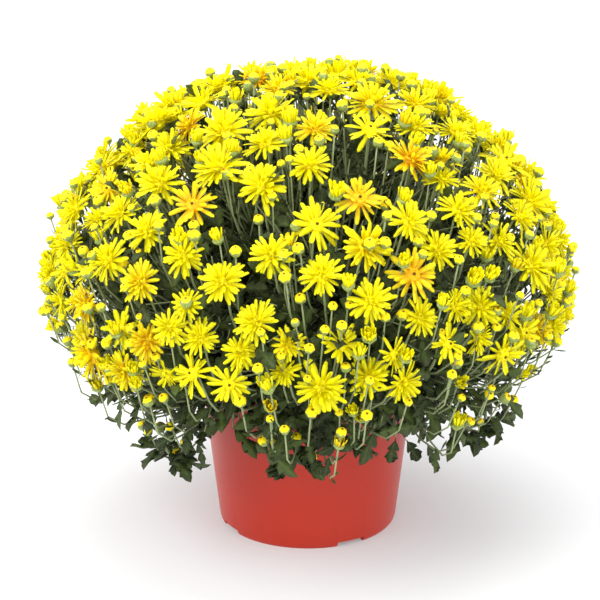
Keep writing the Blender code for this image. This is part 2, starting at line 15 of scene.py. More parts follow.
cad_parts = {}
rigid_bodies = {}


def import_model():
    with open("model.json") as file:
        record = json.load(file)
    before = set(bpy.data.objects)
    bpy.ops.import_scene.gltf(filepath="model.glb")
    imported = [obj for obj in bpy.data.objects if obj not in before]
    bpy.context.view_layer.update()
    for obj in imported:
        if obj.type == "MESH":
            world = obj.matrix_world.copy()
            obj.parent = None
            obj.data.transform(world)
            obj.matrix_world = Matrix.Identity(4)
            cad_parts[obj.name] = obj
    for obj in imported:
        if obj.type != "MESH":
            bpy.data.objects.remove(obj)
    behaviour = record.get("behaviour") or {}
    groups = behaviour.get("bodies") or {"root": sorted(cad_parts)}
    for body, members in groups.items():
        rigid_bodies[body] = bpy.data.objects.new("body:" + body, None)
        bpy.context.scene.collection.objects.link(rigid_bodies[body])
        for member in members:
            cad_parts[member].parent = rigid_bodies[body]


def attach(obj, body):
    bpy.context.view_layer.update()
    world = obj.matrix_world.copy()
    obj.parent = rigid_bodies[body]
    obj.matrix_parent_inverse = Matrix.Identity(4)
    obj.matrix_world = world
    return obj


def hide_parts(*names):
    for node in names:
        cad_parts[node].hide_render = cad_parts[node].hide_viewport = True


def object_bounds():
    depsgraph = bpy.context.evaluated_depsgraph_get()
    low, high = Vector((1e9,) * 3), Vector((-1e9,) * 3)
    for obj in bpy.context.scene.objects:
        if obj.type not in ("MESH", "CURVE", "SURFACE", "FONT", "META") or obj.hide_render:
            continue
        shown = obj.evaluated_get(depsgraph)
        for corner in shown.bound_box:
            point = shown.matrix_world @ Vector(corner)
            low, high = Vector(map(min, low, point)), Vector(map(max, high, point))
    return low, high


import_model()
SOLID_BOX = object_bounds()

LOG = logging.getLogger("pot_chrysanthemum")
MM = 0.001
UP = Vector((0, 0, 1))
PETAL, LEAF, STEM, BUD = 0, 0, 1, 2  # places of the finishes among a piece's materials
MIX_SHARE, MIX_FIRST, MIX_SECOND, MIX_COLOUR = 0, 6, 7, 2  # sockets of a Mix node for colours
SPRAY_SEED, FILL_SEED, BUD_SEED = 7000, 8000, 9000  # the spray's number is added to each
Colour = tuple[float, float, float]
Span = tuple[float, float]


class Slot(Enum):
    """Names of the record's finishes for the pieces of this scene."""

    POT = "pot_red"
    LEAF = "leaf_green"
    PETAL = "petal_yellow"


def scatter(rng: random.Random, amount: float) -> Vector:
    """A random vector.

    Args:
        rng: random numbers.
        amount: the greatest size of each coordinate.

    Returns:
        The vector.
    """
    return Vector([rng.uniform(-amount, amount) for _ in range(3)])


class Value:
    """A shader socket that arithmetic can be written with."""

    def __init__(self, graph: "Graph", socket: bpy.types.NodeSocket) -> None:
        """Keeps the socket.

        Args:
            graph: the graph that it is in.
            socket: the socket.
        """
        self.graph = graph
        self.socket = socket

    def _math(self, operation: str, *operands: object) -> "Value":
        """Adds a Math node.

        Args:
            operation: the node's operation.
            operands: Values or numbers.

        Returns:
            The node's result.
        """
        inputs = dict(enumerate(operands))
        return self.graph.node("ShaderNodeMath", {"operation": operation}, inputs)

    def __add__(self, other: object) -> "Value":
        """The sum with a Value or a number."""
        return self._math("ADD", self, other)

    __radd__ = __add__

    def __sub__(self, other: object) -> "Value":
        """The difference from a Value or a number."""
        return self._math("SUBTRACT", self, other)

    def __rsub__(self, other: object) -> "Value":
        """A number less the value."""
        return self._math("SUBTRACT", other, self)

    def __mul__(self, other: object) -> "Value":
        """The product with a Value or a number."""
        return self._math("MULTIPLY", self, other)

    __rmul__ = __mul__

    def sine(self) -> "Value":
        """The sine of the value, in radians."""
        return self._math("SINE", self)

    def at_least(self, other: object) -> "Value":
        """The greater of the two.

        Args:
            other: a Value or a number.

        Returns:
            The greater one.
        """
        return self._math("MAXIMUM", self, other)

    def band(self, low: float, high: float) -> "Value":
        """The value mapped smoothly to 0 at low and 1 at high.

        Args:
            low: where the result is 0.
            high: where the result is 1.

        Returns:
            The mapped value, held between 0 and 1.
        """
        return self.graph.node(
            "ShaderNodeMapRange",
            {"interpolation_type": "SMOOTHSTEP"},
            {"Value": self, "From Min": low, "From Max": high},
        )


class Graph:
    """The node tree of one material."""

    def __init__(self, name: str) -> None:
        """Starts a material with a bare Principled shader.

        Args:
            name: the material's name.
        """
        self.material = bpy.data.materials.new(name)
        self.material.use_nodes = True
        self.tree = self.material.node_tree
        self.shader = self.tree.nodes["Principled BSDF"]

    def node(self, kind: str, settings: dict, inputs: dict, output: object = 0) -> Value:
        """Adds any node.

        Args:
            kind: the node's type.
            settings: the node's own properties, set first.
            inputs: values or links for its sockets, by name or number.
            output: name or number of the output wanted.

        Returns:
            The output as a Value.
        """
        made = self.tree.nodes.new(kind)
        for key, value in settings.items():
            setattr(made, key, value)
        for key, value in inputs.items():
            self.feed(made.inputs[key], value)
        return Value(self, made.outputs[output])

    def feed(self, socket: bpy.types.NodeSocket, value: object) -> None:
        """Links a Value to a socket, or sets a constant on it.

        Args:
            socket: the socket.
            value: a Value, a number or a colour.
        """
        if isinstance(value, Value):
            self.tree.links.new(value.socket, socket)
        elif isinstance(value, tuple) and socket.type == "RGBA":
            socket.default_value = (*value, 1)
        else:
            socket.default_value = value

    def attributes(self, *names: str) -> list[Value]:
        """The piece's own numbers.

        Args:
            names: their names.

        Returns:
            A Value for each name.
        """
        return [
            self.node("ShaderNodeAttribute", {"attribute_name": name}, {}, "Fac") for name in names
        ]

    def place(self) -> Value:
        """The point's Object coordinates."""
        return self.node("ShaderNodeTexCoord", {}, {}, "Object")

    def noise(self, scale: float, detail: float = 3.0, roughness: float = 0.55) -> Value:
        """Noise on Object coordinates.

        Args:
            scale: cells per metre.
            detail: number of octaves.
            roughness: how strong the finer octaves are.

        Returns:
            The noise, about 0 to 1.
        """
        inputs = {"Vector": self.place(), "Scale": scale, "Detail": detail, "Roughness": roughness}
        return self.node("ShaderNodeTexNoise", {}, inputs, "Fac")

    def mix(self, share: object, first: object, second: object) -> Value:
        """A colour between two.

        Args:
            share: 0 for the first, 1 for the second.
            first: a colour or Value.
            second: a colour or Value.

        Returns:
            The mixed colour.
        """
        inputs = {MIX_SHARE: share, MIX_FIRST: first, MIX_SECOND: second}
        return self.node("ShaderNodeMix", {"data_type": "RGBA"}, inputs, MIX_COLOUR)

    def bump(self, height: Value, strength: float, distance: float) -> None:
        """Feeds a height to the shader's normal through a Bump node.

        Args:
            height: the height.
            strength: how much it tells.
            distance: how deep it goes, in metres.
        """
        inputs = {"Height": height, "Strength": strength, "Distance": distance}
        self.feed(self.shader.inputs["Normal"], self.node("ShaderNodeBump", {}, inputs, "Normal"))

    def finish(self, **sockets: object) -> bpy.types.Material:
        """Feeds the shader's sockets.

        Args:
            sockets: a value for each socket, named with underscores for spaces.

        Returns:
            The material.
        """
        for name, value in sockets.items():
            self.feed(self.shader.inputs[name.replace("_", " ")], value)
        return self.material


@dataclass(frozen=True)
class PetalFinish:
    """Bright yellow petals, amber towards the root as painted shade, and on some heads amber that
    is partly age and partly painted shade.
    """

    bright: Colour = (1.0, 0.89, 0.0)
    # painted highlight on the inner, higher layers of petals
    pale: Colour = (1.0, 0.91, 0.0)
    # painted shade: amber towards the petals' roots, deep in the head
    root: Colour = (1.0, 0.66, 0.0)
    # amber on some heads, strongest towards the root: partly age, partly painted shade among the
    # petals
    amber: Colour = (0.93, 0.36, 0.005)
    # painted shade: the dark middle of a starry head
    hollow_shade: Colour = (0.13, 0.055, 0.0)
    blotches: float = 220
    ribs: float = 22

    def make(self) -> bpy.types.Material:
        """The material."""
        graph = Graph("petals")
        along, across, tint, layer = graph.attributes("along", "across", "tint", "layer")
        blotch = graph.noise(self.blotches, 2)
        # painted shade: the petals darken to amber towards their roots
        root_shaded = graph.mix(along.band(0.0, 0.5), self.root, self.bright)
        # painted highlight: the inner layers are paler
        lit = graph.mix(layer.band(0.5, 1.0) * 0.5, root_shaded, self.pale)
        # amber on random heads, kept towards the root: partly age, partly painted shade
        age_and_shade = (tint + blotch * 0.35 - 0.25).band(0.62, 1.0)
        age_and_shade = age_and_shade * (1.0 - along.band(0.25, 1.0) * 0.6)
        colour = graph.mix(age_and_shade * 0.85, lit, self.amber)
        # painted shade on the dark middle of a starry head
        hollow_shade = 1.0 - along.band(-0.9, -0.5)
        graph.bump((across * self.ribs).sine() * 0.5 + blotch, 0.35, 0.3 * MM)
        return graph.finish(
            Base_Color=graph.mix(hollow_shade, colour, self.hollow_shade), Roughness=0.55,
            Specular_IOR_Level=0.25, Subsurface_Weight=0.4, Subsurface_Radius=(1.0, 0.7, 0.1),
            Subsurface_Scale=4 * MM,
        )


@dataclass(frozen=True)
class BudFinish:
    """A shut head: green bracts below, tight yellow petals above, painted shade in the dimple on
    top.
    """

    green: Colour = (0.19, 0.27, 0.055)
    pale: Colour = (0.36, 0.42, 0.14)
    yellow: Colour = (1.0, 0.80, 0.0)
    orange: Colour = (0.95, 0.5, 0.0)
    # painted shade in the dimple on top of a bud
    hollow_shade: Colour = (0.11, 0.05, 0.0)
    ribs: int = 11

    def make(self) -> bpy.types.Material:
        """The material."""
        graph = Graph("buds")
        along, across, tint = graph.attributes("along", "across", "tint")
        bracts = graph.mix(graph.noise(500, 2).band(0.35, 0.7), self.green, self.pale)
        yellow = graph.mix(tint.band(0.5, 1.0) * 0.35, self.yellow, self.orange)
        # painted shade: the dimple on top turns dark
        top = graph.mix(along.band(0.955, 0.99), yellow, self.hollow_shade)
        edge = (along - tint.band(0.6, 1.0) * 0.35).band(0.44, 0.56)
        ribs = (across * (math.tau * self.ribs)).sine()
        graph.bump(ribs * 0.5 + graph.noise(900, 2), 0.5, 0.4 * MM)
        return graph.finish(
            Base_Color=graph.mix(edge, bracts, top), Roughness=0.6, Specular_IOR_Level=0.3
        )


@dataclass(frozen=True)
class LeafFinish:
    """Dark green leaves, mottled, with a paler midrib and side veins."""

    dark: Colour = (0.017, 0.032, 0.003)
    light: Colour = (0.058, 0.092, 0.011)
    vein: Colour = (0.11, 0.14, 0.040)
    side_veins: float = 26
    vein_slant: float = 9

    def make(self) -> bpy.types.Material:
        """The material."""
        graph = Graph("leaves")
        along, across, tint = graph.attributes("along", "across", "tint")
        mottling = graph.noise(160)
        base = graph.mix((tint * 0.7 + mottling * 0.5).band(0.25, 1.0), self.dark, self.light)
        midrib = 1.0 - across.band(0.0, 0.10)
        side = (along * self.side_veins - across * self.vein_slant).sine().band(0.86, 1.0)
        veins = midrib.at_least(side * 0.55)
        graph.bump(mottling * 0.6 - veins, 0.5, 0.6 * MM)
        return graph.finish(
            Base_Color=graph.mix(veins * 0.55, base, self.vein), Roughness=0.55,
            Sheen_Weight=0.05, Specular_IOR_Level=0.3,
        )


@dataclass(frozen=True)
class StemFinish:
    """Pale grey-green stems, duller and browner towards the root."""

    tip: Colour = (0.28, 0.335, 0.16)
    root: Colour = (0.085, 0.105, 0.038)
    speck: Colour = (0.09, 0.11, 0.04)

    def make(self) -> bpy.types.Material:
        """The material."""
        graph = Graph("stems")
        (along,) = graph.attributes("along")
        specks = graph.noise(900)
        base = graph.mix(along.band(0.0, 0.9), self.root, self.tip)
        graph.bump(specks, 0.5, 0.4 * MM)
        colour = graph.mix(specks.band(0.5, 0.75) * 0.3, base, self.speck)
        return graph.finish(Base_Color=colour, Roughness=0.7)


@dataclass(frozen=True)
class PlasticFinish:
    """The pot's red plastic: moulded, slightly glossy, a little scuffed and dusty."""

    red: Colour = (0.45, 0.019, 0.004)
    worn: Colour = (0.50, 0.070, 0.040)

    def make(self) -> bpy.types.Material:
        """The material."""
        graph = Graph("pot_plastic")
        haze = graph.noise(9, 4)
        scuffs = graph.noise(60, 5, 0.7).band(0.60, 0.78)
        share = scuffs * 0.16 + haze.band(0.4, 0.75) * 0.10
        graph.bump(graph.noise(1400, 2) * 0.5 + graph.noise(120, 2), 0.12, 0.6 * MM)
        return graph.finish(
            Base_Color=graph.mix(share, self.red, self.worn), Specular_IOR_Level=0.4,
            Roughness=haze * 0.16 + scuffs * 0.12 + 0.30, Coat_Weight=0.08, Coat_Roughness=0.25,
        )


@dataclass(frozen=True)
class SoilFinish:
    """Moist potting soil with pale grit."""

    dark: Colour = (0.018, 0.011, 0.007)
    light: Colour = (0.085, 0.052, 0.03)
    grit: Colour = (0.45, 0.42, 0.36)

    def make(self) -> bpy.types.Material:
        """The material."""
        graph = Graph("potting_soil")
        clods = graph.noise(260, 5, 0.7)
        grit = graph.noise(700, 1).band(0.68, 0.74)
        base = graph.mix(clods.band(0.3, 0.7), self.dark, self.light)
        graph.bump(clods, 1.0, 3 * MM)
        return graph.finish(Base_Color=graph.mix(grit * 0.7, base, self.grit), Roughness=0.95)


@dataclass(frozen=True)
class BarkFinish:
    """The crown's young bark."""

    dark: Colour = (0.10, 0.075, 0.035)
    light: Colour = (0.24, 0.22, 0.105)

    def make(self) -> bpy.types.Material:
        """The material."""
        graph = Graph("bark")
        rough = graph.noise(420, 5, 0.7)
        graph.bump(rough, 0.9, 1.5 * MM)
        colour = graph.mix(rough.band(0.3, 0.7), self.dark, self.light)
        return graph.finish(Base_Color=colour, Roughness=0.85)


@dataclass
class Layout:
    """Where everything on the plant grows. The solids are laid out by the same rule.

    Attributes:
        seed: seed of all its random draws.
        hub: the point that all the axes start from.
        reach: distance from the hub to the dome's surface, down to the shoulder.
        shoulder: polar angle in degrees where the dome starts to draw in.
        skirt_draw: how far it has drawn in skirt_span degrees further down.
        half_width: the greatest distance from the middle.
        rings: polar angle, number of sprays, and open heads on each, for every ring.
        trailer_ring: polar angle and number of the hanging shoots.
        turn_jitter, polar_jitter: play of an axis, in steps of its ring and in degrees.
        lowest: height below which no open head has its middle.
        petals: broad petals of a head in the solids.
        radius: radius of such a head.
        lift_mm: play of a head's height over the surface.
        head_lean: play of the way that it faces.
        choices: how many of the free petals the next head chooses from.
        spacing: distance between linked heads, in radii.
        nearest: least distance between heads, in spacings.
        head_room: least distance to the wedge's wall, in radii.
        link_share: where along its parent's petal a head is linked.
        link_rise: how far it may stand over or under that petal.
        bud_radius, bud_count: radius and number of the shut heads in the solids.
        gap: clearance at the wedge's walls.
    """

    seed: int = 11
    hub: Vector = field(default_factory=lambda: Vector((0, 0, 160 * MM)))
    reach: float = 239 * MM
    shoulder: float = 60.0
    skirt_draw: float = 96 * MM
    skirt_span: float = 50.0
    half_width: float = 235 * MM
    rings: tuple = ((0, 1, 7), (29, 5, 10), (55, 7, 9), (79, 8, 7))
    trailer_ring: tuple = (107, 6)
    turn_jitter: float = 0.08
    polar_jitter: float = 2.0
    lowest: float = 170 * MM
    petals: int = 6
    radius: float = 23.5 * MM
    lift_mm: Span = (-3, 2)
    head_lean: float = 0.1
    choices: int = 3
    spacing: float = 1.82
    nearest: float = 0.88
    head_room: float = 0.66
    link_share: float = 0.66
    link_rise: float = 6 * MM
    bud_radius: float = 5.5 * MM
    bud_count: int = 3
    gap: float = 0.3 * MM

    @staticmethod
    def direction(polar: float, azimuth: float) -> Vector:
        """A unit vector.

        Args:
            polar: angle from the upright, in degrees.
            azimuth: angle round it, in degrees.

        Returns:
            The vector.
        """
        p, a = math.radians(polar), math.radians(azimuth)
        return Vector((math.sin(p) * math.cos(a), math.sin(p) * math.sin(a), math.cos(p)))

    def surface_reach(self, toward: Vector) -> float:
        """Distance from the hub to the dome's surface.

        Args:
            toward: the direction.

        Returns:
            The distance.
        """
        below = max(0.0, (math.degrees(toward.angle(UP)) - self.shoulder) / self.skirt_span)
        return self.reach - self.skirt_draw * below * below

    def point(self, toward: Vector, lift: float = 0.0) -> Vector:
        """A point of the surface.

        Args:
            toward: its direction from the hub.
            lift: how far it is lifted off the surface.

        Returns:
            The point.
        """
        unit = toward.normalized()
        return self.hub + unit * (self.surface_reach(unit) + lift)

    def normal(self, toward: Vector) -> Vector:
        """The way out of the surface.

        Args:
            toward: direction of the point from the hub.

        Returns:
            The unit vector.
        """
        unit = toward.normalized()
        side = unit.orthogonal().normalized()
        across = unit.cross(side)
        middle = self.point(unit)
        step = 0.02
        first = self.point(unit + side * step) - middle
        return first.cross(self.point(unit + across * step) - middle).normalized()

    def axes(self) -> tuple[list[Vector], list[Vector]]:
        """The axes of the sprays and of the hanging shoots."""
        rng = random.Random(self.seed)
        jitter, play = self.turn_jitter, self.polar_jitter
        found = []
        for polar, count, *_ in (*self.rings, self.trailer_ring):
            offset = 0.5 if count % 2 or polar > 90 else 0.0
            for n in range(count):
                turn = 360 * (n + offset + rng.uniform(-jitter, jitter)) / count
                polar_turn = polar + rng.uniform(-play, play) * (polar > 0)
                found.append(self.direction(polar_turn, turn))
        flowering = sum(count for _, count, _ in self.rings)
        return found[:flowering], found[flowering:]


@dataclass
class Wedge:
    """The space that lies nearest one axis.

    Attributes:
        layout: the plant's layout.
        axis: the axis.
        others: all the axes.
        step: share of the way that a point is drawn in at a time.
    """

    layout: Layout
    axis: Vector
    others: list[Vector]
    step: float = 0.04

    def __post_init__(self) -> None:
        """Works out the walls."""
        others = [other for other in self.others if other != self.axis]
        self.walls = [(self.axis - other).normalized() for other in others]

    def room(self, point: Vector) -> float:
        """Distance to the nearest wall.

        Args:
            point: the point.

        Returns:
            The distance, below 0 outside the wedge.
        """
        from_hub = point - self.layout.hub
        to_wall = min(from_hub.dot(wall) for wall in self.walls)
        return min(to_wall, self.layout.half_width - math.hypot(point.x, point.y))

    def pulled_in(self, root: Vector, point: Vector, margin: float) -> Vector:
        """Draws a point towards its root until it is clear of the walls.

        Args:
            root: the root.
            point: the point.
            margin: how clear it has to be.

        Returns:
            Where it ends.
        """
        share = 1.0
        while share > 0.05 and self.room(root + (point - root) * share) < margin:
            share -= self.step
        return root + (point - root) * share


class Head:
    """One flower head: its middle, the way it faces and how it is turned."""

    def __init__(self, layout: Layout, centre: Vector, facing: Vector, spin: float) -> None:
        """Keeps the head's place.

        Args:
            layout: the plant's layout.
            centre: its middle.
            facing: the way it faces.
            spin: its turn round that.
        """
        self.layout = layout
        self.centre = centre
        self.facing = facing
        self.side = facing.orthogonal().normalized()
        self.across = facing.cross(self.side)
        self.spin = spin
        self.link: tuple["Head", int] | None = None

    def face(self, facing: Vector) -> None:
        """Turns the head.

        Args:
            facing: the way it faces from now on.
        """
        self.facing = facing
        self.side = facing.cross(self.across).normalized() * -1
        self.across = facing.cross(self.side)

    def petal_way(self, k: int) -> Vector:
        """The way that a broad petal points.

        Args:
            k: the petal's number.

        Returns:
            The unit vector in the head's plane.
        """
        turn = self.spin + math.tau * k / self.layout.petals
        return self.side * math.cos(turn) + self.across * math.sin(turn)

    def link_point(self, wedge: Wedge) -> Vector:
        """The point on its parent's petal that this head meets.

        Args:
            wedge: the space that the petal keeps to.

        Returns:
            The point.
        """
        parent, k = self.link
        tip = parent.centre + parent.petal_way(k) * self.layout.radius
        tip = wedge.pulled_in(parent.centre, tip + parent.facing * 0.5 * MM, self.layout.gap)
        return parent.centre + (tip - parent.centre) * self.layout.link_share - parent.facing * MM

    def matrix(self, scale: float = 1.0, turn: float = 0.0) -> Matrix:
        """Places a flower that is modelled facing +Z.

        Args:
            scale: its size.
            turn: a further turn.

        Returns:
            The matrix.
        """
        axes = Matrix((self.side, self.across, self.facing)).transposed().to_4x4()
        spin = Matrix.Rotation(self.spin + turn, 4, "Z")
        return Matrix.Translation(self.centre) @ axes @ spin @ Matrix.Scale(scale, 4)


@dataclass(frozen=True)
class FillRule:
    """How smaller open heads lie in the gaps, a little deeper than the others.

    Attributes:
        tries: places tried.
        lean: how far from the spray's axis.
        lift_mm: play of the height over the surface.
        above_lowest: least height over the lowest open head.
        room: least distance to the wedge's wall.
        nearest: least distance to another head.
        apart: added to the distance to another small head.
        from_bud: least distance to a bud.
        tilt, upward: play of the way they face, and its pull upwards.
        radius: greatest radius, before its variation.
        overlap: how much less than the distance to the next head it is.
        variation: its play.
    """

    tries: int = 500
    lean: float = 0.42
    lift_mm: Span = (-9, -1)
    above_lowest: float = 28 * MM
    room: float = 9 * MM
    nearest: float = 29 * MM
    apart: float = 6 * MM
    from_bud: float = 10 * MM
    tilt: float = 0.45
    upward: float = 0.15
    radius: float = 21 * MM
    overlap: float = 11 * MM
    variation: Span = (0.8, 1.05)


@dataclass(frozen=True)
class BudRule:
    """How shut heads lie in the gaps. The defaults are the rule for those in the solids.

    Attributes:
        tries: places tried.
        lean: how far from the spray's axis.
        spread: a factor on that.
        lift_mm: play of the height over the surface.
        raised_mm: how much further out than that.
        room: added to a bud's radius at the wedge's wall.
        nearest: least distance to an open head, in its radii.
        apart: least distance to another bud, in radii of a bud.
        floor_mm: play of the least height, over the lowest open head.
    """

    tries: int = 240
    lean: float = 0.34
    spread: float = 1.0
    lift_mm: Span = (-9, 5)
    raised_mm: Span | None = None
    room: float = 1 * MM
    nearest: float = 0.92
    apart: float = 2.6
    floor_mm: Span | None = None


@dataclass
class SprayPlan:
    """The heads of one spray, where its solids have them, and more heads between them.

    Attributes:
        layout: the plant's layout.
        wedge: the spray's space.
        count: open heads wanted.
        number: the spray's number.
        filling: rule of the smaller open heads.
        first_buds: rule of the buds in the solids.
        more_buds: rule of the further ones.
    """

    layout: Layout
    wedge: Wedge
    count: int
    number: int
    filling: FillRule = FillRule()
    first_buds: BudRule = BudRule()
    more_buds: BudRule = BudRule(
        tries=900, spread=1.2, raised_mm=(2, 9), room=0.0, nearest=0.45, apart=2.1,
        floor_mm=(-34, 26),
    )

    def __post_init__(self) -> None:
        """Lays the spray out."""
        rng = random.Random(self.layout.seed * 100 + self.number)
        self.open_heads = self.grow(rng)
        self.buds = self.place_buds(rng, self.layout.bud_count, [])

    def grow(self, rng: random.Random) -> list[Head]:
        """The open flowers: each further one grows beyond a petal of one already there.

        Args:
            rng: the spray's own random numbers.

        Returns:
            The heads.
        """
        lay, wedge = self.layout, self.wedge
        spin = rng.uniform(0, math.tau)
        first = Head(lay, lay.point(wedge.axis), lay.normal(wedge.axis), spin)
        heads = [first]
        spacing = lay.spacing * lay.radius
        free = [(first, k) for k in range(lay.petals)]
        while free and len(heads) < self.count:
            parent, k = free.pop(rng.randrange(min(lay.choices, len(free))))
            beyond = parent.centre + parent.petal_way(k) * spacing
            centre = lay.point(beyond - lay.hub, rng.uniform(*lay.lift_mm) * MM)
            if centre.z < lay.lowest:
                continue
            near = min((centre - other.centre).length for other in heads)
            if near < lay.nearest * spacing or wedge.room(centre) < lay.head_room * lay.radius:
                continue
            facing = (lay.normal(centre - lay.hub) + scatter(rng, lay.head_lean)).normalized()
            child = Head(lay, centre, facing, 0)
            back = parent.centre - child.centre
            child.spin = math.atan2(back.dot(child.across), back.dot(child.side))
            child.link = (parent, k)
            if abs((child.link_point(wedge) - centre).dot(child.facing)) >= lay.link_rise:
                continue
            heads.append(child)
            free += [(child, n) for n in range(1, lay.petals)]
        return heads

    def fill_heads(self, rng: random.Random) -> list[tuple[Head, float]]:
        """Smaller open heads in the gaps.

        Args:
            rng: random numbers for them.

        Returns:
            Each head with its radius.
        """
        lay, rule = self.layout, self.filling
        found = []
        for _ in range(rule.tries):
            lean = scatter(rng, rule.lean)
            place = lay.point(self.wedge.axis + lean, rng.uniform(*rule.lift_mm) * MM)
            if place.z < lay.lowest + rule.above_lowest or self.wedge.room(place) < rule.room:
                continue
            near = min((place - head.centre).length for head in self.open_heads)
            small = ((place - other.centre).length + rule.apart for other, _ in found)
            near = min([near, *small])
            on_bud = any((place - bud).length < rule.from_bud for bud in self.buds)
            if near < rule.nearest or on_bud:
                continue
            lean = scatter(rng, rule.tilt)
            facing = (lay.normal(place - lay.hub) + lean + UP * rule.upward).normalized()
            head = Head(lay, place, facing, rng.uniform(0, 6))
            radius = min(rule.radius, near - rule.overlap) * rng.uniform(*rule.variation)
            found.append((head, radius))
        return found

    def place_buds(self, rng: random.Random, count: int, taken: list[Vector]) -> list[Vector]:
        """Places for shut heads in the gaps between the flowers.

        Args:
            rng: random numbers for them.
            count: how many are wanted.
            taken: places that are already used.

        Returns:
            The places found.
        """
        lay = self.layout
        rule = self.more_buds if taken else self.first_buds
        found = []
        for _ in range(rule.tries):
            if len(found) == count:
                break
            lean = scatter(rng, rule.lean) * rule.spread
            place = lay.point(self.wedge.axis + lean, rng.uniform(*rule.lift_mm) * MM)
            if rule.raised_mm:
                place += (place - lay.hub).normalized() * rng.uniform(*rule.raised_mm) * MM
            if self.wedge.room(place) < lay.bud_radius + rule.room:
                continue
            near = min((place - head.centre).length for head in self.open_heads)
            if near < rule.nearest * lay.radius:
                continue
            apart = rule.apart * lay.bud_radius
            if any((place - other).length < apart for other in [*found, *taken]):
                continue
            if rule.floor_mm and place.z < lay.lowest + rng.uniform(*rule.floor_mm) * MM:
                continue
            found.append(place)
        return found


@dataclass
class Template:
    """A small modelled shape that is copied many times.

    Attributes:
        points: its points.
        faces: the numbers of each face's points.
        along, across, layer: its points' numbers for the materials.
        material: place of its finish among the piece's materials.
    """

    points: np.ndarray
    faces: list[tuple[int, ...]]
    along: np.ndarray
    across: np.ndarray
    layer: np.ndarray
    material: int


class Batch:
    """Gathers many placed copies into one piece."""

    def __init__(self) -> None:
        """Starts empty."""
        self.points: list[np.ndarray] = []
        self.faces: list[tuple[int, ...]] = []
        self.numbers: dict[str, list] = {"along": [], "across": [], "layer": [], "tint": []}
        self.materials: list[int] = []
        self.count = 0

    def add(
        self, template: Template, matrix: Matrix, tint: float, layer: float | None = None
    ) -> None:
        """Adds one copy.

        Args:
            template: the shape.
            matrix: its place.
            tint: the copy's own random number, 0 to 1.
            layer: overrides the template's layer number.
        """
        rows = np.array(matrix, np.float64)
        size = len(template.points)
        self.points.append(template.points @ rows[:3, :3].T + rows[:3, 3])
        self.faces += [tuple(i + self.count for i in face) for face in template.faces]
        self.numbers["along"].append(template.along)
        self.numbers["across"].append(template.across)
        self.numbers["layer"].append(template.layer if layer is None else np.full(size, layer))
        self.numbers["tint"].append(np.full(size, tint))
        self.materials += [template.material] * len(template.faces)
        self.count += size

    def tube(self, route: Sequence[Vector], radii: Sequence[float], sides: int = 6) -> None:
        """Adds a round stem along a route.

        Args:
            route: the points it passes through.
            radii: its radius at each point.
            sides: sides of the section.
        """
        points = []
        side = (route[1] - route[0]).orthogonal().normalized()
        for n, (place, radius) in enumerate(zip(route, radii)):
            ahead = (route[min(n + 1, len(route) - 1)] - route[max(n - 1, 0)]).normalized()
            side = (side - ahead * side.dot(ahead)).normalized()
            across = ahead.cross(side)
            for k in range(sides):
                turn = math.tau * k / sides
                points.append(place + (side * math.cos(turn) + across * math.sin(turn)) * radius)
        faces = []
        for n in range(len(route) - 1):
            for k in range(sides):
                a, b = n * sides + k, n * sides + (k + 1) % sides
                faces.append((a, b, b + sides, a + sides))
        last = (len(route) - 1) * sides
        faces += [tuple(reversed(range(sides))), tuple(range(last, last + sides))]
        along = np.repeat(np.linspace(0, 1, len(route)), sides)
        zeros = np.zeros(len(points))
        stem = Template(np.array(points), faces, along, zeros, zeros, STEM)
        self.add(stem, Matrix.Identity(4), 0.5)

    def piece(self, name: str, materials: Sequence[bpy.types.Material]) -> bpy.types.Object:
        """Makes the gathered copies one object.

        Args:
            name: the piece's name.
            materials: its materials, in the order of the numbers used.

        Returns:
            The object.
        """
        mesh = bpy.data.meshes.new(name)
        mesh.from_pydata(np.concatenate(self.points), [], self.faces)
        for key, parts in self.numbers.items():
            numbers = mesh.attributes.new(key, "FLOAT", "POINT")
            numbers.data.foreach_set("value", np.concatenate(parts).astype(np.float32))
        for finish in materials:
            mesh.materials.append(finish)
        mesh.polygons.foreach_set("material_index", self.materials)
        mesh.polygons.foreach_set("use_smooth", [True] * len(mesh.polygons))
        mesh.update()
        made = bpy.data.objects.new(name, mesh)
        bpy.context.scene.collection.objects.link(made)
        return made


def nothing_selected() -> None:
    """Deselects everything, so that an operator acts on the new piece alone."""
    bpy.ops.object.select_all(action="DESELECT")


def only_selected(obj: bpy.types.Object) -> None:
    """Selects one object alone.

    Args:
        obj: the object.
    """
    nothing_selected()
    obj.select_set(True)
    bpy.context.view_layer.objects.active = obj


def apply_modifier(obj: bpy.types.Object, kind: str, **settings: object) -> None:
    """Adds a modifier to the object and applies it.

    Args:
        obj: the object.
        kind: the modifier's type.
        settings: its properties.
    """
    modifier = obj.modifiers.new(kind.lower(), kind)
    for key, value in settings.items():
        setattr(modifier, key, value)
    only_selected(obj)
    bpy.ops.object.modifier_apply(modifier=modifier.name)


def reshaped(
    shape: Callable[[Vector], tuple[tuple, float, float]], material: int, mirrored: bool = False
) -> Template:
    """Moves each point of the primitive just made, reads it as a template and removes it.

    Args:
        shape: gives the new place and the numbers along and across of a point from its old place.
        material: place of its finish among the piece's materials.
        mirrored: True where the shape is a mirror image, so that its faces have to be turned.

    Returns:
        The template.
    """
    made = bpy.context.object
    numbers = []
    for vert in made.data.vertices:
        vert.co, *both = shape(vert.co.copy())
        numbers.append(both)
    if mirrored:
        only_selected(made)
        bpy.ops.object.mode_set(mode="EDIT")
        bpy.ops.mesh.select_all(action="SELECT")
        bpy.ops.mesh.normals_make_consistent(inside=False)
        bpy.ops.object.mode_set(mode="OBJECT")
    points = np.empty(len(numbers) * 3, np.float32)
    made.data.vertices.foreach_get("co", points)
    along, across = np.array(numbers, np.float32).T
    faces = [tuple(face.vertices) for face in made.data.polygons]
    bpy.data.objects.remove(made)
    zeros = np.zeros(len(numbers), np.float32)
    return Template(points.reshape(-1, 3), faces, along, across, zeros, material)


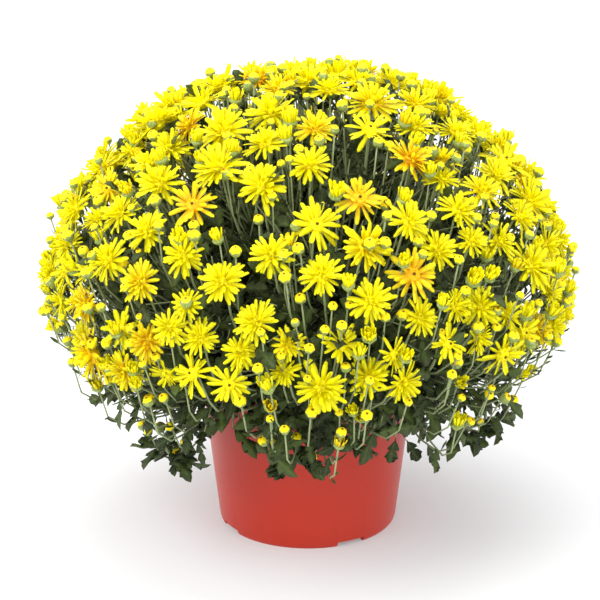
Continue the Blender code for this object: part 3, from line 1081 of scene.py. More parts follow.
def slim(
    profile: Sequence[tuple[float, float, float]], thickness: float, cup: float,
    lobe_lean: float = 0.0, lobe_width: float = 0.18,
) -> Template:
    """Models a slim closed blade along +X from a four-sided sphere: a petal or a leaf.

    Args:
        profile: place along, half width and height of the root, of each ring and of the tip.
        thickness: how thick it is in the middle.
        cup: how far its edges stand up.
        lobe_lean: how far the tips of its lobes lean forward.
        lobe_width: half width from which a ring counts as a lobe.

    Returns:
        The blade as a template.
    """
    rows = len(profile) - 1
    nothing_selected()
    bpy.ops.mesh.primitive_uv_sphere_add(segments=4, ring_count=rows, radius=1)

    def shape(co: Vector) -> tuple[tuple, float, float]:
        """Maps a point of the sphere to the blade.

        Args:
            co: the point.

        Returns:
            Its place on the blade, its share along and its share across.
        """
        row = round(math.acos(max(-1.0, min(1.0, -co.z))) / math.pi * rows)
        place, half, rise = profile[row]
        radius = math.hypot(co.x, co.y)
        upward, sideways = (co.x / radius, co.y / radius) if radius > 0.01 else (0.0, 0.0)
        edge = abs(sideways)
        forward = lobe_lean * edge if half > lobe_width else 0.0
        height = rise + cup * edge + upward * thickness / 2
        return (place + forward, sideways * half, height), place, edge

    return reshaped(shape, LEAF, mirrored=True)


def joined(parts: Iterable[tuple[Template, Matrix, float]]) -> Template:
    """One template of petals from placed copies of others.

    Args:
        parts: each template with its place and its layer number.

    Returns:
        The joined template.
    """
    batch = Batch()
    for template, matrix, layer in parts:
        batch.add(template, matrix, 0.0, layer)
    numbers = [np.concatenate(batch.numbers[key]) for key in ("along", "across", "layer")]
    return Template(np.concatenate(batch.points), batch.faces, *numbers, PETAL)


def turned(profile: Sequence[Span], sides: int, name: str) -> bpy.types.Object:
    """A turned shape.

    Args:
        profile: radius and height of each point.
        sides: steps of the turn.
        name: the object's name.

    Returns:
        The object.
    """
    mesh = bpy.data.meshes.new(name)
    points = [(r, 0, z) for r, z in profile]
    mesh.from_pydata(points, [(n, n + 1) for n in range(len(points) - 1)], [])
    made = bpy.data.objects.new(name, mesh)
    bpy.context.scene.collection.objects.link(made)
    apply_modifier(
        made, "SCREW", steps=sides, render_steps=sides, use_merge_vertices=True,
        merge_threshold=0.1 * MM, use_smooth_shade=True,
    )
    return made


@dataclass
class Flowers:
    """The heads: open ones in layers of petals, half-open cups and shut buds, of radius 1.

    Attributes:
        seed: seed of their petals' play.
        double: petals, length, pitch in degrees and layer number of each ring of a full head.
        starry: the same for a head that has opened flat.
        half_open: petals, length and pitch of each ring of a half-open head.
        long, short, incurved: width, droop and cup of the petals' shapes.
        outline: share along and share of the width of each ring of a petal.
        bracts: points and troughs of a calyx's edge.
    """

    seed: int = 5
    double: tuple = (
        (16, 1.00, -3, 0.0), (15, 0.92, 11, 0.25), (13, 0.78, 27, 0.5), (10, 0.62, 45, 0.7),
        (7, 0.46, 62, 0.85), (4, 0.30, 80, 1.0),
    )
    starry: tuple = ((15, 1.00, 2, 0.1), (11, 0.82, 16, 0.5), (8, 0.30, 52, 1.0))
    half_open: tuple = ((10, 1.5, 56), (8, 1.35, 70), (5, 1.0, 84))
    long: tuple = (
        (0.19, 0.10, 0.03), (0.21, 0.20, 0.03), (0.20, 0.02, 0.04), (0.18, -0.06, 0.03),
        (0.21, 0.32, 0.03),
    )
    short: tuple = ((0.26, 0.06, 0.05), (0.28, -0.12, 0.06), (0.24, -0.25, 0.05))
    incurved: tuple = ((0.34, -0.28, 0.07), (0.30, -0.36, 0.07))
    outline: tuple = ((0.0, 0.0), (0.26, 0.36), (0.72, 0.50), (0.93, 0.36), (1.0, 0.0))
    bracts: int = 12

    def __post_init__(self) -> None:
        """Models each kind of head once."""
        rng = random.Random(self.seed)
        long, short, incurved = (
            [self.petal(*row) for row in rows] for rows in (self.long, self.short, self.incurved)
        )
        self.doubles = [self.head(rng, self.double, long, short) for _ in range(5)]
        self.stars = [self.head(rng, self.starry, long, short) for _ in range(3)]
        self.halves = [self.half_head(rng, incurved) for _ in range(3)]
        self.bud = self.shut_head()
        self.calyx = self.green_cup()

    def petal(self, width: float, droop: float, cup: float) -> Template:
        """A petal one unit long: narrow at the root, broad and rounded at the tip.

        Args:
            width: its greatest width.
            droop: how far the tip curves down, or up if negative.
            cup: how far the edges stand up.

        Returns:
            The petal.
        """
        profile = [(u, width * half, 0.07 * u - droop * u * u) for u, half in self.outline]
        return slim(profile, 0.03, cup)

    @staticmethod
    def middle(radius: float, height: float, along: float) -> Template:
        """A low cushion in the middle of a head.

        Args:
            radius: its radius.
            height: height of its middle.
            along: its place in the petals' colouring, below 0 for a dark middle that is painted
                shade.

        Returns:
            The cushion.
        """
        nothing_selected()
        bpy.ops.mesh.primitive_uv_sphere_add(segments=8, ring_count=4, radius=radius)
        flat = 0.6
        return reshaped(lambda co: ((co.x, co.y, co.z * flat + height), along, 0.0), PETAL)

    def head(
        self, rng: random.Random, layers: tuple, petals: Sequence[Template],
        short: Sequence[Template],
    ) -> Template:
        """One open flower, facing +Z.

        Args:
            rng: random numbers for its petals.
            layers: petals, length, pitch in degrees and layer number of each ring.
            petals: shapes for the outer rings.
            short: shapes for the inner rings.

        Returns:
            The flower.
        """
        parts = []
        for count, length, pitch, layer in layers:
            start = Matrix.Translation((0.05, 0, 0.06 * layer))
            for n in range(count):
                turn = math.tau * (n + rng.uniform(-0.35, 0.35)) / count + layer * 2.1
                tilt = math.radians(pitch + rng.uniform(-13, 13))
                size = length * rng.uniform(0.68, 1.0)
                roll = Matrix.Rotation(rng.uniform(-0.35, 0.35), 4, "X")
                matrix = (
                    Matrix.Rotation(turn, 4, "Z") @ start @ Matrix.Rotation(-tilt, 4, "Y")
                    @ roll @ Matrix.Scale(size * 0.95, 4)
                )
                parts.append((rng.choice(petals if layer < 0.4 else short), matrix, layer))
        parts.append((self.middle(0.30, 0.02, 0.3), Matrix.Identity(4), 1.0))
        # a small dark cushion in the middle, coloured as painted shade
        if layers is self.starry:
            parts.append((self.middle(0.06, 0.21, -1.0), Matrix.Identity(4), 1.0))
        return joined(parts)

    def half_head(self, rng: random.Random, petals: Sequence[Template]) -> Template:
        """A half-open cup, facing +Z.

        Args:
            rng: random numbers for its petals.
            petals: their shapes.

        Returns:
            The cup.
        """
        parts = []
        start = Matrix.Translation((0.26, 0, -0.5))
        for count, length, pitch in self.half_open:
            for n in range(count):
                turn = math.tau * (n + rng.uniform(-0.2, 0.2)) / count + pitch
                tilt = math.radians(pitch + rng.uniform(-12, 8))
                size = Matrix.Scale(length * rng.uniform(0.8, 1), 4)
                swing = Matrix.Rotation(turn, 4, "Z") @ start @ Matrix.Rotation(-tilt, 4, "Y")
                parts.append((rng.choice(petals), swing @ size, 0.4))
        return joined(parts)

    @staticmethod
    def shut_head() -> Template:
        """A bud, facing +Z: a ribbed dome with a dimple at the top."""
        ridges, ridge_height, hollow_height, stretch = 6, 0.07, 0.80, 1.02
        nothing_selected()
        bpy.ops.mesh.primitive_uv_sphere_add(segments=12, ring_count=7, radius=1)

        def shape(co: Vector) -> tuple[tuple, float, float]:
            """Maps a point of the sphere to the bud.

            Args:
                co: the point.

            Returns:
                Its place, its share of the height and its share of the turn.
            """
            share = (co.z + 1) / 2
            turn = math.atan2(co.y, co.x) / math.tau + 0.5
            wave = math.cos(turn * math.tau * ridges) * math.sin(math.pi * share)
            ridge = 1 + ridge_height * wave
            height = hollow_height if share > 0.99 else co.z * stretch
            return (co.x * ridge, co.y * ridge, height), share, turn

        return reshaped(shape, BUD)

    def green_cup(self) -> Template:
        """The calyx: a green cup of pointed bracts, its mouth at z = 0."""
        depth, point_height, edge_number = 0.9, 0.30, 0.3
        nothing_selected()
        bpy.ops.mesh.primitive_cone_add(
            vertices=self.bracts, radius1=0.24, radius2=1.05, depth=depth
        )

        def shape(co: Vector) -> tuple[tuple, float, float]:
            """Raises every second point of the edge.

            Args:
                co: the point.

            Returns:
                Its place, its number along and 0.
            """
            top = co.z > 0
            odd = round(math.atan2(co.y, co.x) / math.tau * self.bracts) % 2
            height = co.z - depth / 2 + (point_height if top and odd else 0.0)
            return (co.x, co.y, height), edge_number if top else 0.0, 0.0

        return reshaped(shape, BUD)


@dataclass
class LeafShapes:
    """Lobed leaves, and the narrow ones near the flowers. Each is one unit long, along +X.

    Attributes:
        outline: share along and half width of each ring of a lobed leaf.
        narrow_outline: the same for a narrow one.
        kinds: droop of the tip and height of the edges of each lobed shape.
    """

    outline: tuple = (
        (0.00, 0.0), (0.14, 0.025), (0.24, 0.11), (0.33, 0.20), (0.42, 0.19), (0.49, 0.085),
        (0.58, 0.17), (0.68, 0.245), (0.79, 0.17), (0.91, 0.12), (1.00, 0.0),
    )
    narrow_outline: tuple = ((0.0, 0.0), (0.25, 0.07), (0.55, 0.12), (0.85, 0.07), (1.0, 0.0))
    kinds: tuple = ((0.20, 0.05), (0.42, 0.03), (0.05, 0.09), (0.65, 0.05))

    def __post_init__(self) -> None:
        """Models each kind once."""
        self.lobed = [self.lobed_leaf(*kind) for kind in self.kinds]
        self.narrow = slim([(u, half, 0.18 * u * u) for u, half in self.narrow_outline], 0.04, 0.03)

    def lobed_leaf(self, droop: float, fold: float) -> Template:
        """A lobed leaf that faces +Z.

        Args:
            droop: how far the tip hangs.
            fold: how far the two halves stand up from the midrib.

        Returns:
            The leaf.
        """
        wave = 0.03
        profile = [(u, half, wave * math.sin(9 * u) - droop * u * u) for u, half in self.outline]
        return slim(profile, 0.02, fold, lobe_lean=0.08)


def facing_matrix(place: Vector, along: Vector, up: Vector, scale: float) -> Matrix:
    """Places a blade that lies along +X and faces +Z.

    Args:
        place: where its root goes.
        along: the way it points.
        up: the way that its face turns towards.
        scale: its length.

    Returns:
        The matrix.
    """
    x = along.normalized()
    y = up.cross(x)
    y = y.normalized() if y.length > 1e-4 else x.orthogonal().normalized()
    rows = Matrix((x, y, x.cross(y))).transposed().to_4x4()
    return Matrix.Translation(place) @ rows @ Matrix.Scale(scale, 4)


def bend(start: Vector, out: Vector, below: Vector, seat: Vector, steps: int) -> list[Vector]:
    """Points along a smooth curve.

    Args:
        start: first point.
        out: the point that it leaves towards.
        below: the point that it arrives from.
        seat: last point.
        steps: number of spans.

    Returns:
        The points.
    """
    points = []
    for n in range(steps + 1):
        t = n / steps
        outward, inward = out * (3 * t * (1 - t) ** 2), below * (3 * t * t * (1 - t))
        points.append(start * (1 - t) ** 3 + outward + inward + seat * t**3)
    return points


@dataclass(frozen=True)
class Habit:
    """Sizes and counts of what grows on the layout.

    Attributes:
        rim_radius, rim_height, rim_clearance: the pot's rim, and how clear of it a leaf stays.
        margin: how far everything stays inside the solids' box.
        leaf_length: length of a full leaf.
        upright: length of the upper, nearly upright part of a stalk.
        star_share: share of the open heads that are starry.
        broad_share, broad_size, usual_size: share of broad heads, and the heads' sizes.
        half_size, shut_size: sizes of half-open and shut heads, in radii of a bud.
        half_open_below: height below which a head is only half open.
        extra_buds: buds besides those in the solids.
        inner_leaves, skirt_leaves: leaves behind a spray's flowers, and more on the lowest.
        rim_leaves: leaves of a lowest spray that spread over the rim.
        skirt_slope: height of an axis below which its spray is one of the lowest.
        open_stalk, shut_stalk: radius of a stalk under an open and under a shut head.
        leaf_shares: places of the leaves along a stalk.
        narrow_from: place from which they are narrow.
        leaf_turn: turn from each leaf to the next.
    """

    rim_radius: float = 98 * MM
    rim_height: float = 145 * MM
    rim_clearance: float = 3 * MM
    margin: float = 0.3 * MM
    leaf_length: float = 27 * MM
    upright: float = 70 * MM
    star_share: float = 0.22
    broad_share: float = 0.32
    broad_size: Span = (1.12, 1.32)
    usual_size: Span = (0.88, 1.08)
    half_size: Span = (1.2, 1.75)
    shut_size: Span = (0.58, 0.92)
    half_open_below: float = 193 * MM
    extra_buds: int = 22
    inner_leaves: int = 98
    skirt_leaves: int = 16
    rim_leaves: int = 26
    skirt_slope: float = 0.35
    open_stalk: float = 1.1 * MM
    shut_stalk: float = 0.85 * MM
    leaf_shares: tuple = (0.38, 0.55, 0.70, 0.82, 0.92)
    narrow_from: float = 0.66
    leaf_turn: float = 2.4


@dataclass
class Growth:
    """One spray or hanging shoot as it grows.

    Attributes:
        layout: where the heads are.
        habit: its sizes.
        flowers: the shapes of its heads.
        leaves: the shapes of its leaves.
        rng: its random numbers.
        petals: gathers its petals.
        green: gathers its leaves, stems and buds.
    """

    layout: Layout
    habit: Habit
    flowers: Flowers
    leaves: LeafShapes
    rng: random.Random
    petals: Batch
    green: Batch

    def clear(self, point: Vector) -> bool:
        """Whether a point is clear of the pot.

        Args:
            point: the point.

        Returns:
            True where it is outside the pot or above its rim.
        """
        habit = self.habit
        outside = math.hypot(point.x, point.y) > habit.rim_radius + habit.rim_clearance
        return outside or point.z > habit.rim_height + habit.rim_clearance

    def inside(self, template: Template, matrix: Matrix) -> Matrix:
        """Moves a shape just far enough for it to lie inside the solids' box.

        Args:
            template: the shape.
            matrix: where it is wanted.

        Returns:
            Where it goes.
        """
        rows = np.array(matrix, np.float64)
        points = template.points @ rows[:3, :3].T + rows[:3, 3]
        low = np.array(SOLID_BOX[0]) + self.habit.margin - points.min(0)
        high = points.max(0) - np.array(SOLID_BOX[1]) + self.habit.margin
        return Matrix.Translation(np.maximum(low, 0) - np.maximum(high, 0)) @ matrix

    def put(self, batch: Batch, template: Template, matrix: Matrix) -> Vector:
        """Adds a copy inside the box, with a tint of its own.

        Args:
            batch: where to add it.
            template: the shape.
            matrix: where it is wanted.

        Returns:
            How far it was moved.
        """
        placed = self.inside(template, matrix)
        batch.add(template, placed, self.rng.random())
        return placed.translation - matrix.translation

    def leaf(
        self, place: Vector, along: Vector, up: Vector, size: float, lobed: bool = True
    ) -> bool:
        """Adds a leaf if it is clear of the pot.

        Args:
            place: its root.
            along: the way it points.
            up: the way it faces.
            size: its length.
            lobed: False for a narrow one.

        Returns:
            True if it was added.
        """
        if not (self.clear(place) and self.clear(place + along.normalized() * size)):
            return False
        shape = self.rng.choice(self.leaves.lobed) if lobed else self.leaves.narrow
        self.put(self.green, shape, facing_matrix(place, along, up, size))
        return True

    def leafy_stalk(self, route: Sequence[Vector], radius: float) -> None:
        """A stalk with lobed leaves low on it and narrow ones near the head.

        Args:
            route: its points.
            radius: its radius.
        """
        rng, habit = self.rng, self.habit
        last = len(route) - 1
        self.green.tube(route, [radius * (1.15 - 0.35 * n / last) for n in range(last + 1)], 5)
        turn = rng.uniform(0, math.tau)
        for share in habit.leaf_shares:
            turn += habit.leaf_turn + rng.uniform(-0.3, 0.3)
            n = min(last - 1, int(share * last))
            place = route[n].lerp(route[n + 1], share * last - n)
            ahead = (route[n + 1] - route[n]).normalized()
            around = (Matrix.Rotation(turn, 3, ahead) @ ahead.orthogonal()).normalized()
            along = (around + ahead * rng.uniform(0.5, 1.3)).normalized()
            lobed = share < habit.narrow_from
            size = habit.leaf_length * rng.uniform(*((0.55, 0.95) if lobed else (0.25, 0.5)))
            self.leaf(place, along, ahead, size, lobed)

    def stalk(self, start: Vector, seat: Vector, facing: Vector, radius: float) -> None:
        """A stalk that leaves the spray's fork outwards, then turns up to its head.

        Args:
            start: where it leaves the fork.
            seat: where it meets the head.
            facing: the way that the head faces.
            radius: its radius.
        """
        length = min(self.habit.upright, 0.55 * (seat - start).length)
        below = seat - (facing * 0.5 + UP).normalized() * length
        self.leafy_stalk(bend(start, start.lerp(below, 0.5), below, seat, 6), radius)

    def cup(self, head: Head, depth: float, size: float) -> None:
        """The calyx of a head.

        Args:
            head: the head.
            depth: how far below the head's middle its mouth is.
            size: its radius.
        """
        below = Head(self.layout, head.centre - head.facing * depth, head.facing, head.spin)
        self.green.add(self.flowers.calyx, below.matrix(size), self.rng.random())

    def open_flower(self, head: Head, radius: float, start: Vector) -> None:
        """An open flower with its calyx and stalk.

        Args:
            head: where it is.
            radius: its radius.
            start: where its stalk starts.
        """
        rng, kinds = self.rng, self.flowers
        shape = rng.choice(kinds.stars if rng.random() < self.habit.star_share else kinds.doubles)
        head.centre += self.put(self.petals, shape, head.matrix(radius, rng.uniform(0, 1)))
        self.cup(head, 1 * MM, 0.24 * radius)
        seat = head.centre - head.facing * 5 * MM
        self.stalk(start, seat, head.facing, self.habit.open_stalk)

    def shut_flower(
        self, place: Vector, facing: Vector, start: Vector, half: bool = False,
        hanging: bool = False,
    ) -> None:
        """A bud or half-open head with its calyx and stalk.

        Args:
            place: its middle.
            facing: the way it faces.
            start: where its stalk starts.
            half: True for a half-open head.
            hanging: True for a stalk that sags before it turns up.
        """
        rng, habit, kinds = self.rng, self.habit, self.flowers
        size = self.layout.bud_radius * rng.uniform(*(habit.half_size if half else habit.shut_size))
        head = Head(self.layout, place, facing, rng.uniform(0, 6))
        if half:
            head.centre += self.put(self.petals, rng.choice(kinds.halves), head.matrix(size))
            self.cup(head, 0.35 * size, 0.64 * size)
        else:
            head.centre += self.put(self.green, kinds.bud, head.matrix(size))
            self.cup(head, 0.12 * size, 0.98 * size)
        seat = head.centre - facing * 0.8 * size
        if hanging:
            low = start.lerp(seat, 0.35) - UP * 12 * MM
            self.leafy_stalk(bend(start, low, seat - facing * 16 * MM, seat, 7), habit.shut_stalk)
        else:
            self.stalk(start, seat, facing, habit.shut_stalk)


class Spray(Growth):
    """A flowering spray."""

    def grow(self, plan: SprayPlan) -> None:
        """Grows the whole spray.

        Args:
            plan: where its heads are.
        """
        lay, habit, rng = self.layout, self.habit, self.rng
        axis = plan.wedge.axis
        root = lay.hub + axis * 30.3 * MM
        fork = lay.hub + axis * 0.46 * lay.surface_reach(axis)
        radii = (2.4 * MM, 2.3 * MM, 2.2 * MM, 2 * MM, 1.8 * MM)
        self.green.tube([root.lerp(fork, n / 4) for n in range(5)], radii)
        for head in plan.open_heads:
            broad = rng.random() < habit.broad_share
            radius = lay.radius * rng.uniform(*(habit.broad_size if broad else habit.usual_size))
            head.face((head.facing + scatter(rng, 0.3) + UP * 0.12).normalized())
            start = self.stalk_start(root, fork)
            if head.centre.z < habit.half_open_below:
                facing = (head.facing + UP * 0.8).normalized()
                self.shut_flower(head.centre, facing, start, half=True)
            else:
                self.open_flower(head, radius, start)
        for head, radius in plan.fill_heads(random.Random(FILL_SEED + plan.number)):
            self.open_flower(head, radius, self.stalk_start(root, fork))
        draws = random.Random(BUD_SEED + plan.number)
        extra = plan.place_buds(draws, habit.extra_buds, plan.buds)
        for n, place in enumerate([*plan.buds, *extra]):
            toward = (place - lay.hub).normalized()
            facing = (toward * 0.5 + UP * 0.8 + scatter(rng, 0.3)).normalized()
            self.shut_flower(place, facing, self.stalk_start(root, fork), half=n % 4 == 3)
        self.inner_growth(axis, fork)
        if axis.z < habit.skirt_slope:
            self.rim_growth(axis, fork)

    def stalk_start(self, root: Vector, fork: Vector) -> Vector:
        """A point on the main stem where a stalk starts.

        Args:
            root: the stem's root.
            fork: its end.

        Returns:
            The point.
        """
        return fork.lerp(root, self.rng.uniform(0, 0.6))

    def inner_growth(self, axis: Vector, fork: Vector) -> None:
        """The leaves behind the flowers, and below them on the lowest sprays.

        Args:
            axis: the spray's axis.
            fork: where its stalks part.
        """
        lay, habit, rng = self.layout, self.habit, self.rng
        skirt = axis.z < habit.skirt_slope
        for _ in range(habit.inner_leaves + habit.skirt_leaves * skirt):
            lean = scatter(rng, 0.42)
            if skirt:
                lean.z = rng.uniform(-0.62, 0.35)
            toward = (axis + lean).normalized()
            place = lay.hub + toward * lay.surface_reach(toward) * rng.uniform(0.45, 0.95)
            along = toward * rng.uniform(0.2, 1.0) + scatter(rng, 0.8)
            if self.leaf(place, along, toward, rng.uniform(0.7, 1.15) * habit.leaf_length):
                route = [fork.lerp(place, share) for share in (0, 0.5, 1)]
                self.green.tube(route, (1.0 * MM, 0.8 * MM, 0.7 * MM), 3)

    def rim_growth(self, axis: Vector, fork: Vector) -> None:
        """The leaves of a lowest spray that spread over the pot's rim.

        Args:
            axis: the spray's axis.
            fork: where its stalks part.
        """
        habit, rng = self.habit, self.rng
        for _ in range(habit.rim_leaves):
            turn = math.atan2(axis.y, axis.x) + rng.uniform(-0.42, 0.42)
            flat = Vector((math.cos(turn), math.sin(turn), 0))
            place = flat * rng.uniform(100, 168) * MM + UP * rng.uniform(128, 172) * MM
            along = flat * rng.uniform(-0.1, 1) + scatter(rng, 0.8)
            size = rng.uniform(0.6, 1.05) * habit.leaf_length
            if self.leaf(place, along, UP + flat * 0.6, size):
                low = fork.lerp(place, 0.5) + UP * 6 * MM
                self.green.tube([fork, low, place], (1.1 * MM, 0.9 * MM, 0.7 * MM), 3)


class HangingShoot(Growth):
    """A shoot that arches over the rim and turns up at its end."""

    # Distance from the middle and height in mm, and the share of the extra depth, of each point.
    SHAPE = ((103, 150, 0), (116, 134, 0.5), (128, 112, 1), (138, 108, 1), (146, 122, 1))
    # Each head: the point of the shoot that it leaves from, counted from the end, and how far
    # it lies outwards, sideways and upwards of that point, in mm.
    HEADS = (
        (-1, 14, 0, 16), (-2, 0, 22, 22), (-3, 8, -20, 12), (-3, 12, 12, 2), (-2, 10, -24, 20),
    )
    RADII = (2.3 * MM, 2.1 * MM, 1.9 * MM, 1.7 * MM, 1.5 * MM, 1.3 * MM)
    WAYS = (-1, 1, -1, 1, -1, 1)

    def grow(self, axis: Vector) -> None:
        """Grows the whole shoot.

        Args:
            axis: the axis of its wedge.
        """
        rng = self.rng
        flat = Vector((axis.x, axis.y, 0)).normalized()
        side = Vector((-flat.y, flat.x, 0))
        route = self.route(flat, side)
        self.green.tube(route, self.RADII)
        for point, outward, sideways, upward in self.HEADS:
            away = (flat * outward + side * sideways + UP * upward) * MM
            place = route[point] + away * rng.uniform(0.9, 1.15)
            facing = (away.normalized() + UP * 0.6).normalized()
            self.shut_flower(place, facing, route[point], hanging=True)
        for n in range(1, len(route) - 1):
            for way in self.WAYS:
                place = route[n].lerp(route[n + 1], rng.random())
                along = flat * rng.uniform(0, 0.8) + side * way + UP * rng.uniform(-1.0, 0.5)
                size = self.habit.leaf_length * rng.uniform(0.6, 1.15)
                self.leaf(place, along, UP + flat * 0.6, size)

    def route(self, flat: Vector, side: Vector) -> list[Vector]:
        """The points that the shoot passes through.

        Args:
            flat: the level way outwards.
            side: the level way across.

        Returns:
            The points.
        """
        lay, rng = self.layout, self.rng
        swing = rng.uniform(-0.22, 0.22)
        depth = rng.uniform(0, 14) * MM
        spread = rng.uniform(0, 28) * MM * abs(flat.x)
        polar = lay.trailer_ring[0]
        stub = lay.direction(polar, math.degrees(math.atan2(flat.y, flat.x)))
        route = [lay.hub + stub * 31.2 * MM]
        for n, (r, z, share) in enumerate(self.SHAPE):
            outward = (flat + side * swing * n / len(self.SHAPE)).normalized()
            further = r * MM + spread * n / (len(self.SHAPE) - 1)
            route.append(outward * further + UP * (z * MM - depth * share))
        return route


@dataclass
class Plant:
    """All that grows: the sprays, and the shoots that hang over the rim.

    Attributes:
        layout: where the heads are.
        habit: sizes and counts.
        flowers: the shapes of the heads.
        leaves: the shapes of the leaves.
        materials: all the materials, by name.
    """

    layout: Layout
    habit: Habit
    flowers: Flowers
    leaves: LeafShapes
    materials: dict[str, bpy.types.Material]

    def start(self, kind: type[Growth], seed: int, petals: Batch, green: Batch) -> Growth:
        """Starts a spray or a shoot.

        Args:
            kind: which of the two.
            seed: seed of its random numbers.
            petals: gathers its petals.
            green: gathers the rest.

        Returns:
            The growth, still bare.
        """
        shapes = (self.layout, self.habit, self.flowers, self.leaves)
        return kind(*shapes, random.Random(seed), petals, green)

    def build(self) -> None:
        """Builds every spray and hanging shoot as pieces that replace their solids."""
        axes, trailers = self.layout.axes()
        everything = [*axes, *trailers]
        counts = [heads for _, count, heads in self.layout.rings for _ in range(count)]
        greens = [self.materials[key] for key in ("leaf", "stem", "bud")]
        for number, (axis, count) in enumerate(zip(axes, counts), 1):
            plan = SprayPlan(self.layout, Wedge(self.layout, axis, everything), count, number)
            petals, green = Batch(), Batch()
            self.start(Spray, SPRAY_SEED + number, petals, green).grow(plan)
            flowers = petals.piece(f"flowers_{number:02d}", [self.materials["petal"]])
            place_piece(flowers, Slot.PETAL, f"blooms_{number:02d}")
            foliage = green.piece(f"foliage_{number:02d}", greens)
            place_piece(foliage, Slot.LEAF, f"spray_{number:02d}")
        for number, axis in enumerate(trailers, 1):
            batch = Batch()
            seed = self.layout.seed * 200 + number
            self.start(HangingShoot, seed, batch, batch).grow(axis)
            shoot = batch.piece(f"hanging_shoot_{number:02d}", greens)
            place_piece(shoot, Slot.LEAF, f"trailer_{number:02d}")


def place_piece(piece: bpy.types.Object, slot: Slot, *nodes: str) -> None:
    """Ties a finished piece to the frame.

    Args:
        piece: the piece.
        slot: not used.
        nodes: the nodes that it stands for.
    """
    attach(piece, "root")
    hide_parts(*nodes)
    LOG.info("%s: %d faces", piece.name, len(piece.data.polygons))


@dataclass
class Pot:
    """The pot, and the finishes of the soil and the woody crown in it.

    Attributes:
        rim, foot, height: outer radii of the wall at its top and foot, and its height.
        wall: its thickness.
        corner: radius of the corner between wall and floor.
        lip_out, lip_drop: how far the lip stands out, and how far down it goes.
        underside: height of the floor's underside.
        foot_width: width of the ring that it stands on.
        notch_turns: where the notches in the foot and the drain holes are, in degrees.
        notch_depth, notch_width, notch_height: size of a notch.
        drain_radius, drain_ring: radius of a drain hole, and of the ring of holes.
        sides: steps of the turned shape.
    """

    rim: float = 95 * MM
    foot: float = 78 * MM
    height: float = 145 * MM
    wall: float = 1.6 * MM
    corner: float = 3 * MM
    lip_out: float = 3 * MM
    lip_drop: float = 11 * MM
    underside: float = 6 * MM
    foot_width: float = 5.5 * MM
    notch_turns: tuple = (28.7, 118.7, 208.7, 298.7)
    notch_depth: float = 24 * MM
    notch_width: float = 26 * MM
    notch_height: float = 4.5 * MM
    drain_radius: float = 5 * MM
    drain_ring: float = 50 * MM
    sides: int = 144

    def outer(self, z: float) -> float:
        """The wall's outer radius.

        Args:
            z: the height.

        Returns:
            The radius there.
        """
        return self.foot + (self.rim - self.foot) * z / self.height

    def profile(self) -> list[Span]:
        """The pot's section, from the middle of its floor over the rim to its underside."""
        high, edge, bore = self.height, self.rim + self.lip_out, self.rim - self.wall
        floor = self.underside + self.wall
        low = high - self.lip_drop
        return [
            # the floor, its corner and the inside of the wall
            (0, floor), (self.outer(floor) - self.wall - self.corner, floor),
            (self.outer(floor + self.corner) - self.wall, floor + self.corner),
            # the rounded lip, and its lower edge
            (bore, high - 0.6 * MM), (bore + 0.6 * MM, high), (edge - 1.2 * MM, high),
            (edge - 0.3 * MM, high - 0.4 * MM), (edge, high - 1.3 * MM), (edge, low + 0.8 * MM),
            (edge - 0.7 * MM, low), (self.outer(low - 1.5 * MM) + 0.2 * MM, low - 0.8 * MM),
            # the outside of the wall
            (self.outer(low - 2.5 * MM), low - 2.5 * MM), (self.outer(60 * MM), 60 * MM),
            (self.outer(4 * MM), 4 * MM), (self.foot - 0.3 * MM, 1.6 * MM),
            # the foot and the underside
            (self.foot - 1.5 * MM, 0), (self.foot - self.foot_width, 0),
            (self.foot - self.foot_width + 0.5 * MM, self.underside), (0, self.underside),
        ]

    def shell(self, finish: bpy.types.Material) -> bpy.types.Object:
        """The fine pot: turned, cut and smoothed.

        Args:
            finish: its material.

        Returns:
            The pot.
        """
        made = turned(self.profile(), self.sides, "red_pot")
        for turn in self.notch_turns:
            out = Layout.direction(90, turn - 90)
            nothing_selected()
            bpy.ops.mesh.primitive_cube_add(size=1)
            size = Matrix.Diagonal((self.notch_depth, self.notch_width, 2 * self.notch_height, 1))
            box = Matrix.Rotation(math.radians(turn - 90), 4, "Z") @ size
            self.cut(made, Matrix.Translation(out * self.foot) @ box)
            nothing_selected()
            bpy.ops.mesh.primitive_cylinder_add(
                vertices=32, radius=self.drain_radius, depth=20 * MM
            )
            self.cut(made, Matrix.Translation(out * self.drain_ring))
        made.data.materials.clear()
        made.data.materials.append(finish)
        only_selected(made)
        bpy.ops.object.shade_smooth_by_angle(angle=math.radians(40))
        return made

    @staticmethod
    def cut(obj: bpy.types.Object, matrix: Matrix) -> None:
        """Takes the primitive just made away from the object and removes it.

        Args:
            obj: the object.
            matrix: where the primitive goes first.
        """
        cutter = bpy.context.object
        cutter.data.transform(matrix)
        apply_modifier(obj, "BOOLEAN", operation="DIFFERENCE", object=cutter, solver="EXACT")
        bpy.data.objects.remove(cutter)

    def build(self, materials: dict[str, bpy.types.Material]) -> None:
        """Builds the pot, and gives the soil and the crown their finishes.

        Args:
            materials: all the materials, by name.
        """
        place_piece(self.shell(materials["plastic"]), Slot.POT, "pot")
        for node, key in (("soil", "soil"), ("crown", "bark")):
            solid = bpy.data.objects[node]
            solid.data.materials.clear()
            solid.data.materials.append(materials[key])
            LOG.info("%s keeps its solid", node)


@dataclass(frozen=True)
class Lamp:
    """A soft light.

    Attributes:
        name: its name.
        place: where it stands.
        size: its width.
        power: its power in watts.
        colour: its colour.
    """

    name: str
    place: tuple
    size: float
    power: float
    colour: Colour


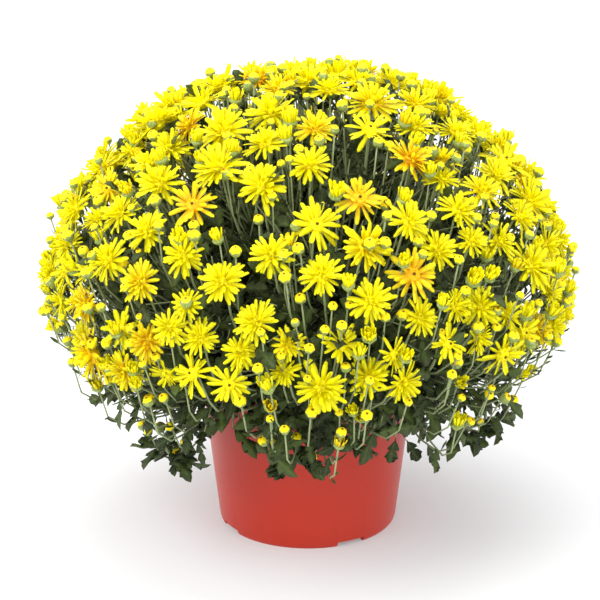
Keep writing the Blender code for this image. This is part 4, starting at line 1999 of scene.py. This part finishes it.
@dataclass
class Studio:
    """The pale floor, the lights and the camera at the photograph's angle.

    Attributes:
        distance, aim, elevation: the camera's distance, its target and its angle over it.
        lens, sensor: focal length and width of the film, in mm.
        lamps: the lights.
        target: the point that they shine at.
        sky: strength of the light all round.
        floor_size, floor_colour: the floor's width and colour.
        glow: the light that the floor gives near the pot, and far behind it.
        glow_band: where it goes from one to the other.
    """

    distance: float = 1.75
    aim: tuple = (-0.007, 0.0, 0.2005)
    elevation: float = 18.0
    lens: float = 121.0
    sensor: float = 36.0
    lamps: tuple = (
        Lamp("key", (-1.5, -1.2, 1.9), 1.7, 50, (1.0, 0.985, 0.96)),
        Lamp("fill", (1.7, -1.5, 1.2), 1.8, 19, (0.96, 0.98, 1.0)),
        Lamp("top", (0.1, 0.4, 2.3), 1.8, 30, (1.0, 1.0, 1.0)),
    )
    target: tuple = (0, 0, 0.2)
    sky: float = 1.15
    floor_size: float = 14
    floor_colour: Colour = (0.58, 0.585, 0.595)
    glow: tuple = ((0.4, 0.4, 0.4), (1.0, 1.0, 1.0))
    glow_band: Span = (0.1, 1.5)

    def floor(self) -> None:
        """A large pale floor."""
        nothing_selected()
        bpy.ops.mesh.primitive_plane_add(size=self.floor_size)
        floor = bpy.context.object
        floor.name = "studio_floor"
        graph = Graph("studio_floor")
        depth = graph.node("ShaderNodeSeparateXYZ", {}, {0: graph.place()}, "Y")
        glow = graph.mix(depth.band(*self.glow_band), *self.glow)
        floor.data.materials.append(graph.finish(
            Base_Color=self.floor_colour, Roughness=0.9, Specular_IOR_Level=0.2,
            Emission_Color=glow, Emission_Strength=0.5,
        ))

    def light(self, lamp: Lamp) -> None:
        """Adds a light that points at the plant.

        Args:
            lamp: the light.
        """
        data = bpy.data.lights.new(lamp.name, "AREA")
        data.size, data.energy, data.color = lamp.size, lamp.power, lamp.colour
        made = bpy.data.objects.new(lamp.name, data)
        bpy.context.scene.collection.objects.link(made)
        made.location = lamp.place
        toward = Vector(self.target) - Vector(lamp.place)
        made.rotation_euler = toward.to_track_quat("-Z", "Y").to_euler()

    def world(self) -> None:
        """The white light all round."""
        world = bpy.data.worlds.new("studio")
        world.use_nodes = True
        background = world.node_tree.nodes["Background"]
        background.inputs["Color"].default_value = (1, 1, 1, 1)
        background.inputs["Strength"].default_value = self.sky
        bpy.context.scene.world = world

    def camera(self) -> None:
        """The camera."""
        data = bpy.data.cameras.new("camera")
        data.lens, data.sensor_width = self.lens, self.sensor
        camera = bpy.data.objects.new("camera", data)
        bpy.context.scene.collection.objects.link(camera)
        tilt = math.radians(self.elevation)
        away = Vector((0, -math.cos(tilt), math.sin(tilt)))
        camera.location = Vector(self.aim) + away * self.distance
        camera.rotation_euler = (math.radians(90) - tilt, 0, 0)
        bpy.context.scene.camera = camera

    def build(self) -> None:
        """Sets up the studio."""
        self.floor()
        for lamp in self.lamps:
            self.light(lamp)
        self.world()
        bpy.context.scene.view_settings.view_transform = "Standard"
        self.camera()


def main() -> None:
    """Builds the whole scene."""
    logging.basicConfig(level=logging.INFO, format="%(message)s")
    materials = {
        "petal": PetalFinish().make(),
        "bud": BudFinish().make(),
        "leaf": LeafFinish().make(),
        "stem": StemFinish().make(),
        "plastic": PlasticFinish().make(),
        "soil": SoilFinish().make(),
        "bark": BarkFinish().make(),
    }
    Studio().build()
    Pot().build(materials)
    Plant(Layout(), Habit(), Flowers(), LeafShapes(), materials).build()
    total = sum(len(obj.data.polygons) for obj in bpy.data.objects if obj.type == "MESH")
    LOG.info("%d faces in all", total)


if __name__ == "__main__":
    main()
